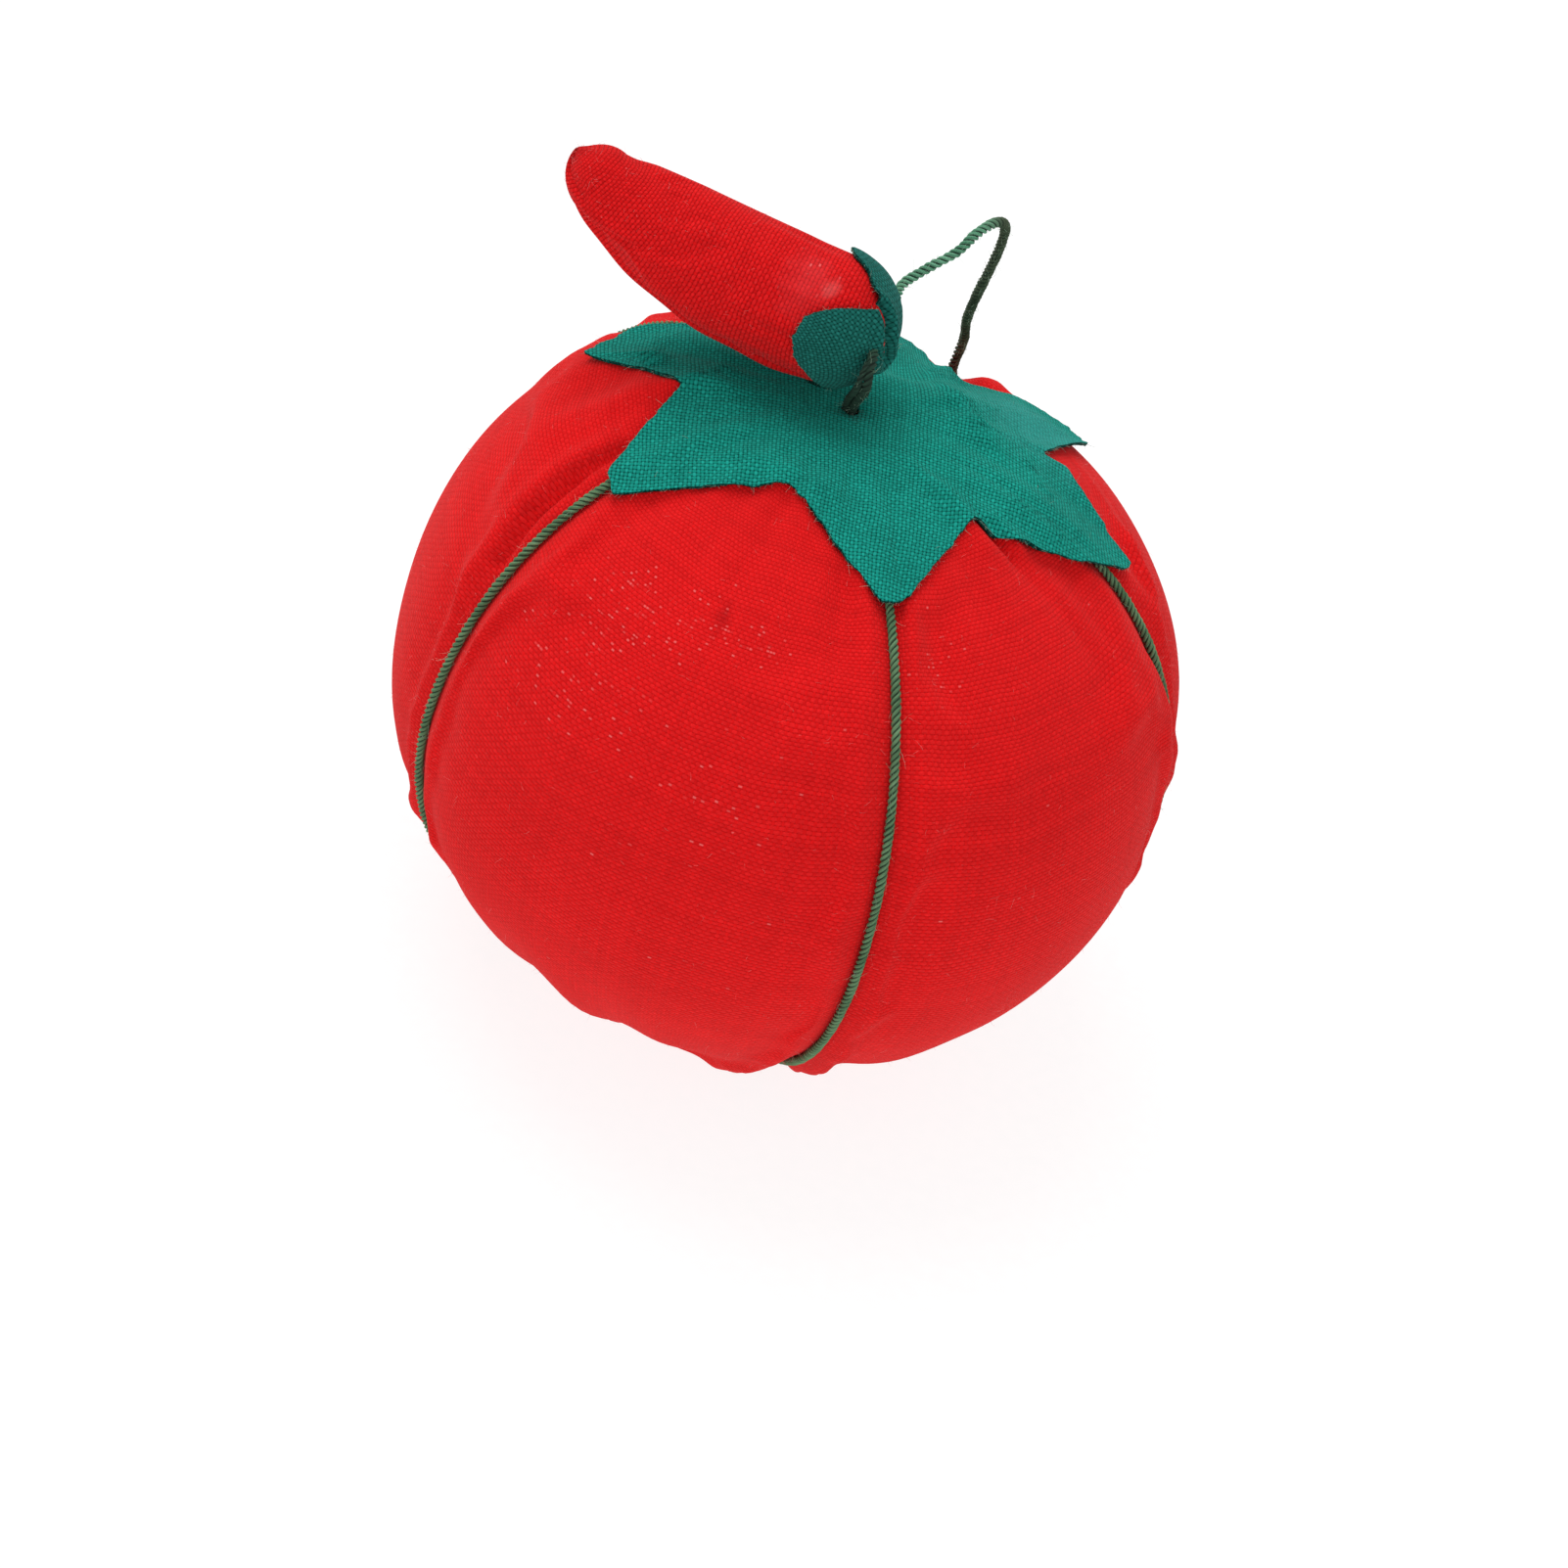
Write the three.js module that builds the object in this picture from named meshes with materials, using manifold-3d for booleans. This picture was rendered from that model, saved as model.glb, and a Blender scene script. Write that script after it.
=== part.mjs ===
// A stuffed tomato pin cushion with an emery-filled chili hanging on its thread.
// Millimetres, +Z up. The origin is the centre of the flat base, and the front is -Y.
import * as THREE from 'three';
import { mergeVertices } from 'three/addons/utils/BufferGeometryUtils.js';
import Module from 'manifold-3d';

const wasm = await Module();
wasm.setup();

// Driving dimensions

const TOMATO_RADIUS = 31;
const EQUATOR_HEIGHT = 25;
const CROWN_RISE = 26.5; // from the equator to the crown
const CROWN_FULLNESS = 2.8; // exponent of the shoulder curve: 2 is an ellipse
const BASE_DROP = 26; // from the equator to the lowest point before the base goes flat
const BASE_FULLNESS = 2.4;
const CROWN_HEIGHT = EQUATOR_HEIGHT + CROWN_RISE;

const COVER_THICKNESS = 0.6;
const SOFT_GAP = 0.5; // between a cover and its filling
const GATHER_RADIUS = 2.4; // the hole left where the cover is drawn together
const CORE_RADIUS = 1.8; // the channel that the needle leaves through the filling

const CROWN_GATHER = new THREE.Vector2(-1.8, 2); // the drawn-in point is a little off centre
const GATHER_PULL = 6; // exponent: how near the crown the cover leans over to that point
const CROWN_DIMPLE = { depth: 3.2, width: 4.2 };
const CALYX_DIMPLE = { depth: 1, width: 5 };
const BASE_DIMPLE = { depth: 2.6, radius: 6 };

const THREAD_DIAMETER = 0.7;
const THREAD_CLEARANCE = 0.33; // between a thread and the cloth under it
const CORE_RING_RADIUS = 1; // the five threads stand in a ring inside the core
const SEGMENT_AZIMUTHS = [-122, -56, 22, 88, 168]; // from the front, positive to the right
// The furrow under a thread is a wide hollow with a narrow crease, deeper where it crosses the base
const FURROW = { wide: 0.5, wideSpread: 5, narrow: 0.8, baseNarrow: 1.4, narrowSpread: 1.1, narrowEnd: 2.6 };
const FURROW_BLEND_HEIGHT = 12;

const CALYX_THICKNESS = 0.4;
const CALYX_LIFT = 0.28; // above the cover
const CALYX_HOLE_RADIUS = 0.6;
// Corners of the star round the gather: azimuth in degrees, reach in mm, half width of a blunt tip
const CALYX_LEAVES = [
  { azimuth: -102, reach: 21, tip: 0.5 },
  { azimuth: -48, reach: 19.9, tip: 1.2 },
  { azimuth: 21, reach: 19.6, tip: 1.1 },
  { azimuth: 81, reach: 22.6, tip: 1.1 },
  { azimuth: 126, reach: 20.6, tip: 1.3 },
  { azimuth: 193, reach: 20.2, tip: 0.9 },
];
const CALYX_NOTCHES = [
  { azimuth: -80, reach: 12.7 },
  { azimuth: -13, reach: 11.3 },
  { azimuth: 54, reach: 13.5 },
  { azimuth: 103, reach: 15.2 },
  { azimuth: 158, reach: 11.8 },
  { azimuth: 226, reach: 12.2 },
];

const CHILI_END = new THREE.Vector3(-5.3, 3.7, 57.9); // centre of the round cap end
const CHILI_HEADING = new THREE.Vector2(-0.99, 0.14).normalize();
const CHILI_RADIUS = 5.1;
const CHILI_TIP_RADIUS = 2.9;
const CHILI_LENGTH = 20; // from the cap end's centre to the tip's centre
const CHILI_TAPER = 2.6;
const CHILI_CURL = { angle: THREE.MathUtils.degToRad(27), growth: 1.3 };
const CHILI_GATHER_RADIUS = 1.2;
const CAP_THICKNESS = 0.35;
const CAP_LIFT = 0.2;
const CAP_REACH = { notch: 6, lobe: 10 }; // along the cloth from the end's pole
const CAP_LOBES = 4;
const CAP_TURN = THREE.MathUtils.degToRad(40); // azimuth of the first lobe round the chili
const TETHER_BORE_RADIUS = 0.7;

const CAP_ENTRY = new THREE.Vector3(-1.45, -0.1, 58.5);
const CAP_EXIT = new THREE.Vector3(-1.2, 7, 59.15);
// The tether from the crown through the chili's cap and down the back to the last furrow
const TETHER_FOOT = [[-1.8, 2, 50.7], [-1.8, 1.9, 51.7], [-1.65, 1.3, 53], [-1.45, 0.35, 54.3],
  [-1.3, -0.75, 55.5], [-1.25, -1.45, 56.3], [-1.27, -1.7, 57.05], [-1.32, -1.51, 57.78],
  [-1.38, -0.98, 58.3]];
const TETHER_LOOP = [[-1, 8.4, 59.4], [0.3, 9.6, 60.5], [2.2, 11, 62], [3.1, 12.4, 63],
  [4.2, 14.2, 63.3], [5, 15.9, 62.2], [5.2, 17.3, 59.6], [5, 18.7, 56], [4.7, 20.3, 52.2],
  [4.6, 22.2, 48.6], [4.9, 24.3, 45.2]];
const TETHER_LEAVES_AT = 40; // height at which the last segment thread lifts off the cover

const COLOURS = { red: 0xc81a1c, green: 0x0f6f5e, thread: 0x4d7c5a, stuffing: 0xe9e4d8, emery: 0x4a4644 };

// Small helpers

const degrees = THREE.MathUtils.degToRad;

function azimuthPoint(azimuth, radius, height) {
  return new THREE.Vector3(radius * Math.sin(azimuth), -radius * Math.cos(azimuth), height);
}

function clothMaterial(colour) {
  return new THREE.MeshStandardMaterial({ color: colour, roughness: 0.9, metalness: 0 });
}

function namedMesh(name, geometry, colour) {
  const mesh = new THREE.Mesh(geometry, clothMaterial(colour));
  mesh.name = name;
  return mesh;
}

// Turns a profile round a full circle, then puts each of its points where place(index, turn) says.
function turnedSolid(count, closed, turns, place) {
  const outline = Array.from({ length: closed ? count + 1 : count }, (_, i) =>
    new THREE.Vector2(1 + Math.cos((i % count) / count * 2 * Math.PI), i % count));
  const geometry = new THREE.LatheGeometry(outline, turns.length);
  const position = geometry.attributes.position;
  for (let k = 0; k < position.count; k++) {
    const row = k % outline.length % count;
    const column = Math.floor(k / outline.length) % turns.length;
    position.setXYZ(k, ...place(row, turns[column]).toArray());
  }
  geometry.deleteAttribute('normal');
  geometry.deleteAttribute('uv');
  return mergeVertices(geometry, 1e-5);
}

function evenTurns(count) {
  return Array.from({ length: count }, (_, i) => i / count * 2 * Math.PI);
}

function tube(points, diameter, steps, sides) {
  const section = new THREE.Shape();
  for (let i = 0; i < sides; i++) {
    const angle = i / sides * 2 * Math.PI;
    section[i ? 'lineTo' : 'moveTo'](diameter / 2 * Math.cos(angle), diameter / 2 * Math.sin(angle));
  }
  const path = new THREE.CatmullRomCurve3(points, false, 'centripetal');
  return new THREE.ExtrudeGeometry(section, { steps, extrudePath: path, bevelEnabled: false });
}

function toSolid(geometry) {
  const bare = geometry.clone();
  bare.deleteAttribute('normal');
  bare.deleteAttribute('uv');
  const merged = mergeVertices(bare, 1e-5);
  return new wasm.Manifold(new wasm.Mesh({
    numProp: 3,
    vertProperties: new Float32Array(merged.attributes.position.array),
    triVerts: new Uint32Array(merged.index.array),
  }));
}

function fromSolid(solid) {
  const mesh = solid.getMesh();
  const geometry = new THREE.BufferGeometry();
  geometry.setAttribute('position', new THREE.BufferAttribute(mesh.vertProperties, 3));
  geometry.setIndex(new THREE.BufferAttribute(mesh.triVerts, 1));
  return geometry;
}

// The tomato's surface

// Radius and height of the plain tomato outline: angle runs from -90 at the base to 90 at the crown.
function outlinePoint(angle) {
  const top = angle > 0;
  const fullness = top ? CROWN_FULLNESS : BASE_FULLNESS;
  const rise = top ? CROWN_RISE : BASE_DROP;
  const radius = TOMATO_RADIUS * Math.cos(angle) ** (2 / fullness);
  return new THREE.Vector2(radius, Math.max(0, EQUATOR_HEIGHT + rise * Math.sin(angle)));
}

// The angle at which the outline has a given radius, on the crown side or the base side.
function angleAtRadius(radius, top) {
  const fullness = top ? CROWN_FULLNESS : BASE_FULLNESS;
  const angle = Math.acos((radius / TOMATO_RADIUS) ** (fullness / 2));
  return top ? angle : -angle;
}

const BASE_EDGE_ANGLE = -Math.asin(EQUATOR_HEIGHT / BASE_DROP);

function outlineNormal(angle) {
  if (angle < BASE_EDGE_ANGLE) return new THREE.Vector2(0, -1);
  const step = 1e-4;
  const along = outlinePoint(angle + step).sub(outlinePoint(angle));
  return new THREE.Vector2(along.y, -along.x).normalize();
}

function furrowDepth(azimuth, radius, height) {
  const side = THREE.MathUtils.smoothstep(height, 0, FURROW_BLEND_HEIGHT);
  const wide = FURROW.wide * side;
  const narrow = THREE.MathUtils.lerp(FURROW.baseNarrow, FURROW.narrow, side);
  let depth = 0;
  for (const segment of SEGMENT_AZIMUTHS) {
    const turn = Math.atan2(Math.sin(azimuth - degrees(segment)), Math.cos(azimuth - degrees(segment)));
    const away = Math.abs(turn) * Math.max(radius, GATHER_RADIUS);
    const crease = away < FURROW.narrowEnd ? narrow * Math.exp(-((away / FURROW.narrowSpread) ** 2)) : 0;
    depth = Math.max(depth, wide * Math.exp(-((away / FURROW.wideSpread) ** 2)) + crease);
  }
  return depth;
}

// Draws the crown in and leans it over to the gather, and draws the middle of the base up.
function drawIn(point, dimple) {
  const radius = Math.hypot(point.x, point.y);
  const pull = (Math.max(point.z, 0) / CROWN_HEIGHT) ** GATHER_PULL;
  const crown = dimple.depth * Math.exp(-((radius / dimple.width) ** 2)) * pull;
  const low = point.z < EQUATOR_HEIGHT ? 1 - point.z / EQUATOR_HEIGHT : 0;
  const base = radius < BASE_DIMPLE.radius
    ? BASE_DIMPLE.depth * (1 - (radius / BASE_DIMPLE.radius) ** 2) ** 2 * low : 0;
  return new THREE.Vector3(point.x + CROWN_GATHER.x * pull, point.y + CROWN_GATHER.y * pull,
    point.z - crown + base);
}

// A point inside the tomato, leaned over towards the gather as the crown is.
function leanedPoint(azimuth, radius, height) {
  const pull = (height / CROWN_HEIGHT) ** GATHER_PULL;
  return azimuthPoint(azimuth, radius, height)
    .add(new THREE.Vector3(CROWN_GATHER.x * pull, CROWN_GATHER.y * pull, 0));
}

function tomatoSurface(angle, azimuth, offset) {
  const plain = outlinePoint(angle);
  const normal = outlineNormal(angle);
  const out = offset - furrowDepth(azimuth, plain.x, plain.y);
  return drawIn(azimuthPoint(azimuth, plain.x + normal.x * out, plain.y + normal.y * out), CROWN_DIMPLE);
}

// Turns round the tomato, close together at each furrow and even between them.
function furrowTurns() {
  const beside = [-4.2, -1.7, 0, 1.7, 4.2].map(degrees);
  const turns = [];
  SEGMENT_AZIMUTHS.forEach((azimuth, i) => {
    const next = i + 1 < SEGMENT_AZIMUTHS.length ? SEGMENT_AZIMUTHS[i + 1] : SEGMENT_AZIMUTHS[0] + 360;
    const here = degrees(azimuth);
    turns.push(...beside.map((turn) => here + turn));
    const from = here + beside.at(-1);
    const gap = degrees(next) + beside[0] - from;
    const count = Math.round(gap / degrees(11));
    for (let k = 1; k < count; k++) turns.push(from + gap * k / count);
  });
  return turns;
}

function anglesBetween(low, high, count) {
  return Array.from({ length: count }, (_, i) => low + (high - low) * i / (count - 1));
}

// Angles down the outline, from the crown's gather hole to the base's, with a ring on the base's edge.
function outlineAngles(count, crownRings, baseRings) {
  const crown = crownRings.map((radius) => angleAtRadius(radius, true));
  const base = baseRings.map((radius) => angleAtRadius(radius, false));
  const side = anglesBetween(degrees(74), BASE_EDGE_ANGLE, count);
  return [...crown, ...side, ...base];
}

const CROWN_RINGS = [GATHER_RADIUS, 2.9, 3.5, 4.3, 5.4, 7, 9.5];
const BASE_RINGS = [8.6, BASE_DIMPLE.radius, 5, 4.3, 3.2, GATHER_RADIUS];

function tomatoCover() {
  const outer = outlineAngles(13, CROWN_RINGS, BASE_RINGS);
  const inner = outlineAngles(10, CROWN_RINGS, BASE_RINGS).reverse();
  const rows = [...outer.map((angle) => ({ angle, offset: 0 })),
    ...inner.map((angle) => ({ angle, offset: -COVER_THICKNESS }))];
  return turnedSolid(rows.length, true, furrowTurns(),
    (row, azimuth) => tomatoSurface(rows[row].angle, azimuth, rows[row].offset));
}

// The filling has a channel for the threads, with a wide mouth at each end for the gather stitch.
function tomatoFilling() {
  const depth = -(COVER_THICKNESS + SOFT_GAP);
  const angles = outlineAngles(10, CROWN_RINGS.slice(3), BASE_RINGS.slice(0, -2));
  const channelHeights = [8, 20, 32, 38, 42.5];
  return turnedSolid(angles.length + channelHeights.length, true, furrowTurns(), (row, azimuth) => {
    if (row < angles.length) return tomatoSurface(angles[row], azimuth, depth);
    return leanedPoint(azimuth, CORE_RADIUS, channelHeights[row - angles.length]);
  });
}

// Segment threads: each goes up the core, over the crown, down its furrow, and back under the base.

function furrowPoint(angle, azimuth) {
  return tomatoSurface(angle, azimuth, THREAD_DIAMETER / 2 + THREAD_CLEARANCE);
}

function corePoint(azimuth, height) {
  return leanedPoint(azimuth, CORE_RING_RADIUS, height);
}

// A thread that leaves its furrow on the way up starts at liftAngle and has no part in the crown.
function segmentThread(azimuth, liftAngle) {
  const middle = EQUATOR_HEIGHT;
  const halfGap = 0.3;
  const overTop = liftAngle === undefined;
  const edgeClearance = degrees(2);
  const angles = outlineAngles(16, CROWN_RINGS.slice(1), BASE_RINGS.slice(0, -1))
    .filter((angle) => Math.abs(angle - BASE_EDGE_ANGLE) > edgeClearance);
  const outside = (overTop ? angles : [liftAngle, ...angles.filter((angle) => angle < liftAngle - edgeClearance)])
    .map((angle) => furrowPoint(angle, azimuth));
  const crownCore = [middle + halfGap, 32, 38, 42.5].map((height) => corePoint(azimuth, height));
  const crownLip = corePoint(azimuth, outside[0].z - 1.4);
  const baseLip = corePoint(azimuth, outside.at(-1).z + 1.4);
  const baseCore = [10, 18, middle - halfGap].map((height) => corePoint(azimuth, height));
  const points = [...(overTop ? [...crownCore, crownLip] : []), ...outside, baseLip, ...baseCore];
  return tube(points, THREAD_DIAMETER, overTop ? 58 : 42, 6);
}

function ringStitch(radius, diameter, centre, axis = new THREE.Vector3(0, 0, 1)) {
  const turn = new THREE.Quaternion().setFromUnitVectors(new THREE.Vector3(0, 0, 1), axis);
  const ring = new THREE.TorusGeometry(radius, diameter / 2, 6, 20);
  return ring.applyQuaternion(turn).translate(centre.x, centre.y, centre.z);
}

function knot(diameter, centre) {
  return new THREE.SphereGeometry(diameter / 2, 10, 8).translate(centre.x, centre.y, centre.z);
}

// The calyx: a flat cut star that follows the crown

function calyxReach(azimuth) {
  const corners = [];
  CALYX_LEAVES.forEach((leaf, i) => {
    const half = Math.atan2(leaf.tip, leaf.reach);
    corners.push({ at: degrees(leaf.azimuth) - half, reach: leaf.reach });
    corners.push({ at: degrees(leaf.azimuth) + half, reach: leaf.reach });
    corners.push({ at: degrees(CALYX_NOTCHES[i].azimuth), reach: CALYX_NOTCHES[i].reach });
  });
  const first = corners[0].at;
  const turn = first + THREE.MathUtils.euclideanModulo(azimuth - first, 2 * Math.PI);
  const after = corners.findIndex((corner) => corner.at > turn);
  const b = after < 0 ? { at: first + 2 * Math.PI, reach: corners[0].reach } : corners[after];
  const a = after < 0 ? corners.at(-1) : corners[after - 1];
  // a straight edge between two corners, in polar form
  const swing = b.at - a.at;
  return a.reach * b.reach * Math.sin(swing)
    / (a.reach * Math.sin(turn - a.at) + b.reach * Math.sin(b.at - turn));
}

// Turns that hit each corner of the star, with even ones between.
function calyxTurns() {
  const turns = [];
  CALYX_LEAVES.forEach((leaf, i) => {
    const half = Math.atan2(leaf.tip, leaf.reach);
    const left = degrees(leaf.azimuth) - half;
    const right = degrees(leaf.azimuth) + half;
    const notch = degrees(CALYX_NOTCHES[i].azimuth);
    const nextLeaf = CALYX_LEAVES[i + 1] ?? { ...CALYX_LEAVES[0], azimuth: CALYX_LEAVES[0].azimuth + 360 };
    const next = degrees(nextLeaf.azimuth) - Math.atan2(nextLeaf.tip, nextLeaf.reach);
    turns.push(left, right, (2 * right + notch) / 3, (right + 2 * notch) / 3, notch,
      (2 * notch + next) / 3, (notch + 2 * next) / 3);
  });
  return turns;
}

// Height of the unfurrowed crown above a point given from the gather.
function crownOver(azimuth, reach, offset) {
  const flat = azimuthPoint(azimuth, reach, 0);
  let guess = flat.clone();
  for (let k = 0; k < 8; k++) {
    const radius = Math.min(Math.hypot(guess.x, guess.y), TOMATO_RADIUS - 0.1);
    const angle = angleAtRadius(radius, true);
    const plain = outlinePoint(angle);
    const drawn = drawIn(new THREE.Vector3(guess.x, guess.y, plain.y), CALYX_DIMPLE);
    guess.x += flat.x + CROWN_GATHER.x - drawn.x;
    guess.y += flat.y + CROWN_GATHER.y - drawn.y;
    guess.z = drawn.z;
  }
  const radius = Math.hypot(guess.x, guess.y);
  const normal = outlineNormal(angleAtRadius(Math.max(radius, 1), true));
  const side = azimuthPoint(Math.atan2(guess.x, -guess.y), normal.x * offset, normal.y * offset);
  return new THREE.Vector3(flat.x + CROWN_GATHER.x, flat.y + CROWN_GATHER.y, guess.z).add(side);
}

function calyx() {
  const rings = [0, 0.12, 0.3, 0.5, 0.68, 0.85, 1];
  const rows = [...rings.map((share) => ({ share, offset: CALYX_LIFT + CALYX_THICKNESS })),
    ...[...rings].reverse().map((share) => ({ share, offset: CALYX_LIFT }))];
  return turnedSolid(rows.length, true, calyxTurns(), (row, azimuth) => {
    const { share, offset } = rows[row];
    const reach = CALYX_HOLE_RADIUS + (calyxReach(azimuth) - CALYX_HOLE_RADIUS) * share;
    return crownOver(azimuth, reach, offset);
  });
}

// The chili

function chiliLift(distance) {
  const along = THREE.MathUtils.clamp(distance, 0, CHILI_LENGTH) / CHILI_LENGTH;
  return CHILI_CURL.angle * along ** CHILI_CURL.growth;
}

// The centre line, added up in short steps from the cap end.
function chiliCentre(distance) {
  const centre = CHILI_END.clone();
  const steps = 24;
  for (let k = 0; k < steps; k++) {
    const lift = chiliLift(distance * (k + 0.5) / steps);
    const run = distance / steps;
    centre.x += run * Math.cos(lift) * CHILI_HEADING.x;
    centre.y += run * Math.cos(lift) * CHILI_HEADING.y;
    centre.z += run * Math.sin(lift);
  }
  return centre;
}

function chiliRadius(distance) {
  if (distance < 0) return Math.sqrt(Math.max(0, CHILI_RADIUS ** 2 - distance ** 2));
  if (distance > CHILI_LENGTH) {
    return Math.sqrt(Math.max(0, CHILI_TIP_RADIUS ** 2 - (distance - CHILI_LENGTH) ** 2));
  }
  const taper = 1 - (distance / CHILI_LENGTH) ** CHILI_TAPER;
  return CHILI_TIP_RADIUS + (CHILI_RADIUS - CHILI_TIP_RADIUS) * taper;
}

// A point on the chili's skin. The turn is 0 at the side that faces the front, then goes up and over.
function chiliSurface(distance, turn, offset) {
  const middle = THREE.MathUtils.clamp(distance, 0, CHILI_LENGTH);
  const end = distance - middle; // how far past the middle stretch
  const full = chiliRadius(middle) + offset;
  const plain = chiliRadius(middle);
  const along = end * full / plain;
  const across = Math.sqrt(Math.max(0, full ** 2 - along ** 2));
  const lift = chiliLift(middle);
  const forward = new THREE.Vector3(Math.cos(lift) * CHILI_HEADING.x, Math.cos(lift) * CHILI_HEADING.y,
    Math.sin(lift));
  const side = new THREE.Vector3(CHILI_HEADING.y, -CHILI_HEADING.x, 0).negate();
  if (side.y > 0) side.negate();
  const up = new THREE.Vector3().crossVectors(forward, side);
  if (up.z < 0) up.negate();
  return chiliCentre(middle).addScaledVector(forward, along)
    .addScaledVector(side, across * Math.cos(turn)).addScaledVector(up, across * Math.sin(turn));
}

function chiliStations(count, from, to) {
  const end = anglesBetween(from, degrees(90), 5).slice(0, -1)
    .map((angle) => -CHILI_RADIUS * Math.cos(angle));
  const tip = anglesBetween(0, to, 5).slice(1).map((angle) => CHILI_LENGTH + CHILI_TIP_RADIUS * Math.sin(angle));
  return [...end, ...anglesBetween(0, CHILI_LENGTH, count), ...tip];
}

const CHILI_SIDES = 28;
const GATHER_ANGLE = Math.asin(CHILI_GATHER_RADIUS / CHILI_RADIUS);

function chiliCover() {
  const stations = chiliStations(8, GATHER_ANGLE, degrees(90));
  const inner = [...stations].reverse();
  const rows = [...stations.map((distance) => ({ distance, offset: 0 })),
    ...inner.map((distance) => ({ distance, offset: -COVER_THICKNESS }))];
  // both skins close on the tip's pole, so the wall is one closed loop with the gather hole open
  return turnedSolid(rows.length, true, evenTurns(CHILI_SIDES),
    (row, turn) => chiliSurface(rows[row].distance, turn, rows[row].offset));
}

function chiliFilling() {
  const stations = chiliStations(7, 0, degrees(90));
  const depth = -(COVER_THICKNESS + SOFT_GAP);
  return turnedSolid(stations.length, false, evenTurns(18),
    (row, turn) => chiliSurface(stations[row], turn, depth));
}

function capReach(turn) {
  const lobe = 0.5 + 0.5 * Math.cos(CAP_LOBES * (turn - CAP_TURN));
  return CAP_REACH.notch + (CAP_REACH.lobe - CAP_REACH.notch) * lobe ** 0.6;
}

// Distance along the chili of a point that lies so far along the cloth from the end's pole.
function stationFromPole(reach) {
  const quarter = CHILI_RADIUS * Math.PI / 2;
  return reach < quarter ? -CHILI_RADIUS * Math.cos(reach / CHILI_RADIUS) : reach - quarter;
}

function chiliCap() {
  const rings = [0, 0.2, 0.4, 0.6, 0.8, 1];
  const rows = [...rings.map((share) => ({ share, offset: CAP_LIFT + CAP_THICKNESS })),
    ...[...rings].reverse().map((share) => ({ share, offset: CAP_LIFT }))];
  return turnedSolid(rows.length, false, evenTurns(CHILI_SIDES), (row, turn) => {
    const { share, offset } = rows[row];
    return chiliSurface(stationFromPole(capReach(turn) * share), turn, offset);
  });
}

function tetherBore() {
  const before = new THREE.Vector3().subVectors(CAP_ENTRY, CAP_EXIT).normalize();
  const start = CAP_ENTRY.clone().addScaledVector(before, 3);
  const end = CAP_EXIT.clone().addScaledVector(before, -3);
  return toSolid(tube([start, CAP_ENTRY, CAP_EXIT, end], 2 * TETHER_BORE_RADIUS, 6, 10));
}

// Cuts the way of the tether, and turns the solid so that its faces point out.
function bored(geometry) {
  return fromSolid(toSolid(geometry).subtract(tetherBore()));
}

function faceOut(geometry) {
  const position = geometry.attributes.position;
  const index = geometry.index.array;
  const corner = [0, 1, 2].map(() => new THREE.Vector3());
  let volume = 0;
  for (let k = 0; k < index.length; k += 3) {
    corner.forEach((v, i) => v.fromBufferAttribute(position, index[k + i]));
    volume += corner[0].dot(corner[1].cross(corner[2])) / 6;
  }
  if (volume < 0) {
    for (let k = 0; k < index.length; k += 3) [index[k + 1], index[k + 2]] = [index[k + 2], index[k + 1]];
  }
  return geometry;
}

// The tether, from its knot under the calyx to the face of the last segment thread

const liftAngle = Math.asin((TETHER_LEAVES_AT - EQUATOR_HEIGHT) / CROWN_RISE);
const lastAzimuth = degrees(SEGMENT_AZIMUTHS.at(-1));
const liftPoint = furrowPoint(liftAngle, lastAzimuth);
const liftWay = new THREE.Vector3().subVectors(furrowPoint(liftAngle + 0.02, lastAzimuth), liftPoint).normalize();

function tetherThread() {
  const faceGap = 0.3;
  const list = (points) => points.map((point) => new THREE.Vector3(...point));
  const points = [...list(TETHER_FOOT), CAP_ENTRY, CAP_EXIT, ...list(TETHER_LOOP),
    liftPoint.clone().addScaledVector(liftWay, 2), liftPoint.clone().addScaledVector(liftWay, faceGap)];
  return tube(points, THREAD_DIAMETER, 44, 8);
}

// Assembly

const pinCushion = new THREE.Group();
pinCushion.add(namedMesh('tomato_cover', faceOut(tomatoCover()), COLOURS.red));
pinCushion.add(namedMesh('tomato_filling', faceOut(tomatoFilling()), COLOURS.stuffing));
SEGMENT_AZIMUTHS.forEach((azimuth, i) => {
  const last = i === SEGMENT_AZIMUTHS.length - 1;
  const geometry = segmentThread(degrees(azimuth), last ? liftAngle : undefined);
  pinCushion.add(namedMesh(`segment_thread_${i + 1}`, geometry, COLOURS.thread));
});

// The running stitch that draws each mouth of the cover together lies inside it, round the threads.
const GATHER_STITCH_DIAMETER = 0.4;
const GATHER_STITCH_RADIUS = 2.7;
const GATHER_STITCH_HEIGHTS = { top: 46.3, base: 4.7 };
pinCushion.add(namedMesh('cover_gather_thread_top', ringStitch(GATHER_STITCH_RADIUS,
  GATHER_STITCH_DIAMETER, leanedPoint(0, 0, GATHER_STITCH_HEIGHTS.top)), COLOURS.red));
pinCushion.add(namedMesh('cover_gather_thread_base', ringStitch(GATHER_STITCH_RADIUS,
  GATHER_STITCH_DIAMETER, leanedPoint(0, 0, GATHER_STITCH_HEIGHTS.base)), COLOURS.red));
pinCushion.add(namedMesh('base_knot', knot(1.4, new THREE.Vector3(0, 0, 1.3)), COLOURS.thread));
pinCushion.add(namedMesh('calyx', faceOut(calyx()), COLOURS.green));

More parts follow.
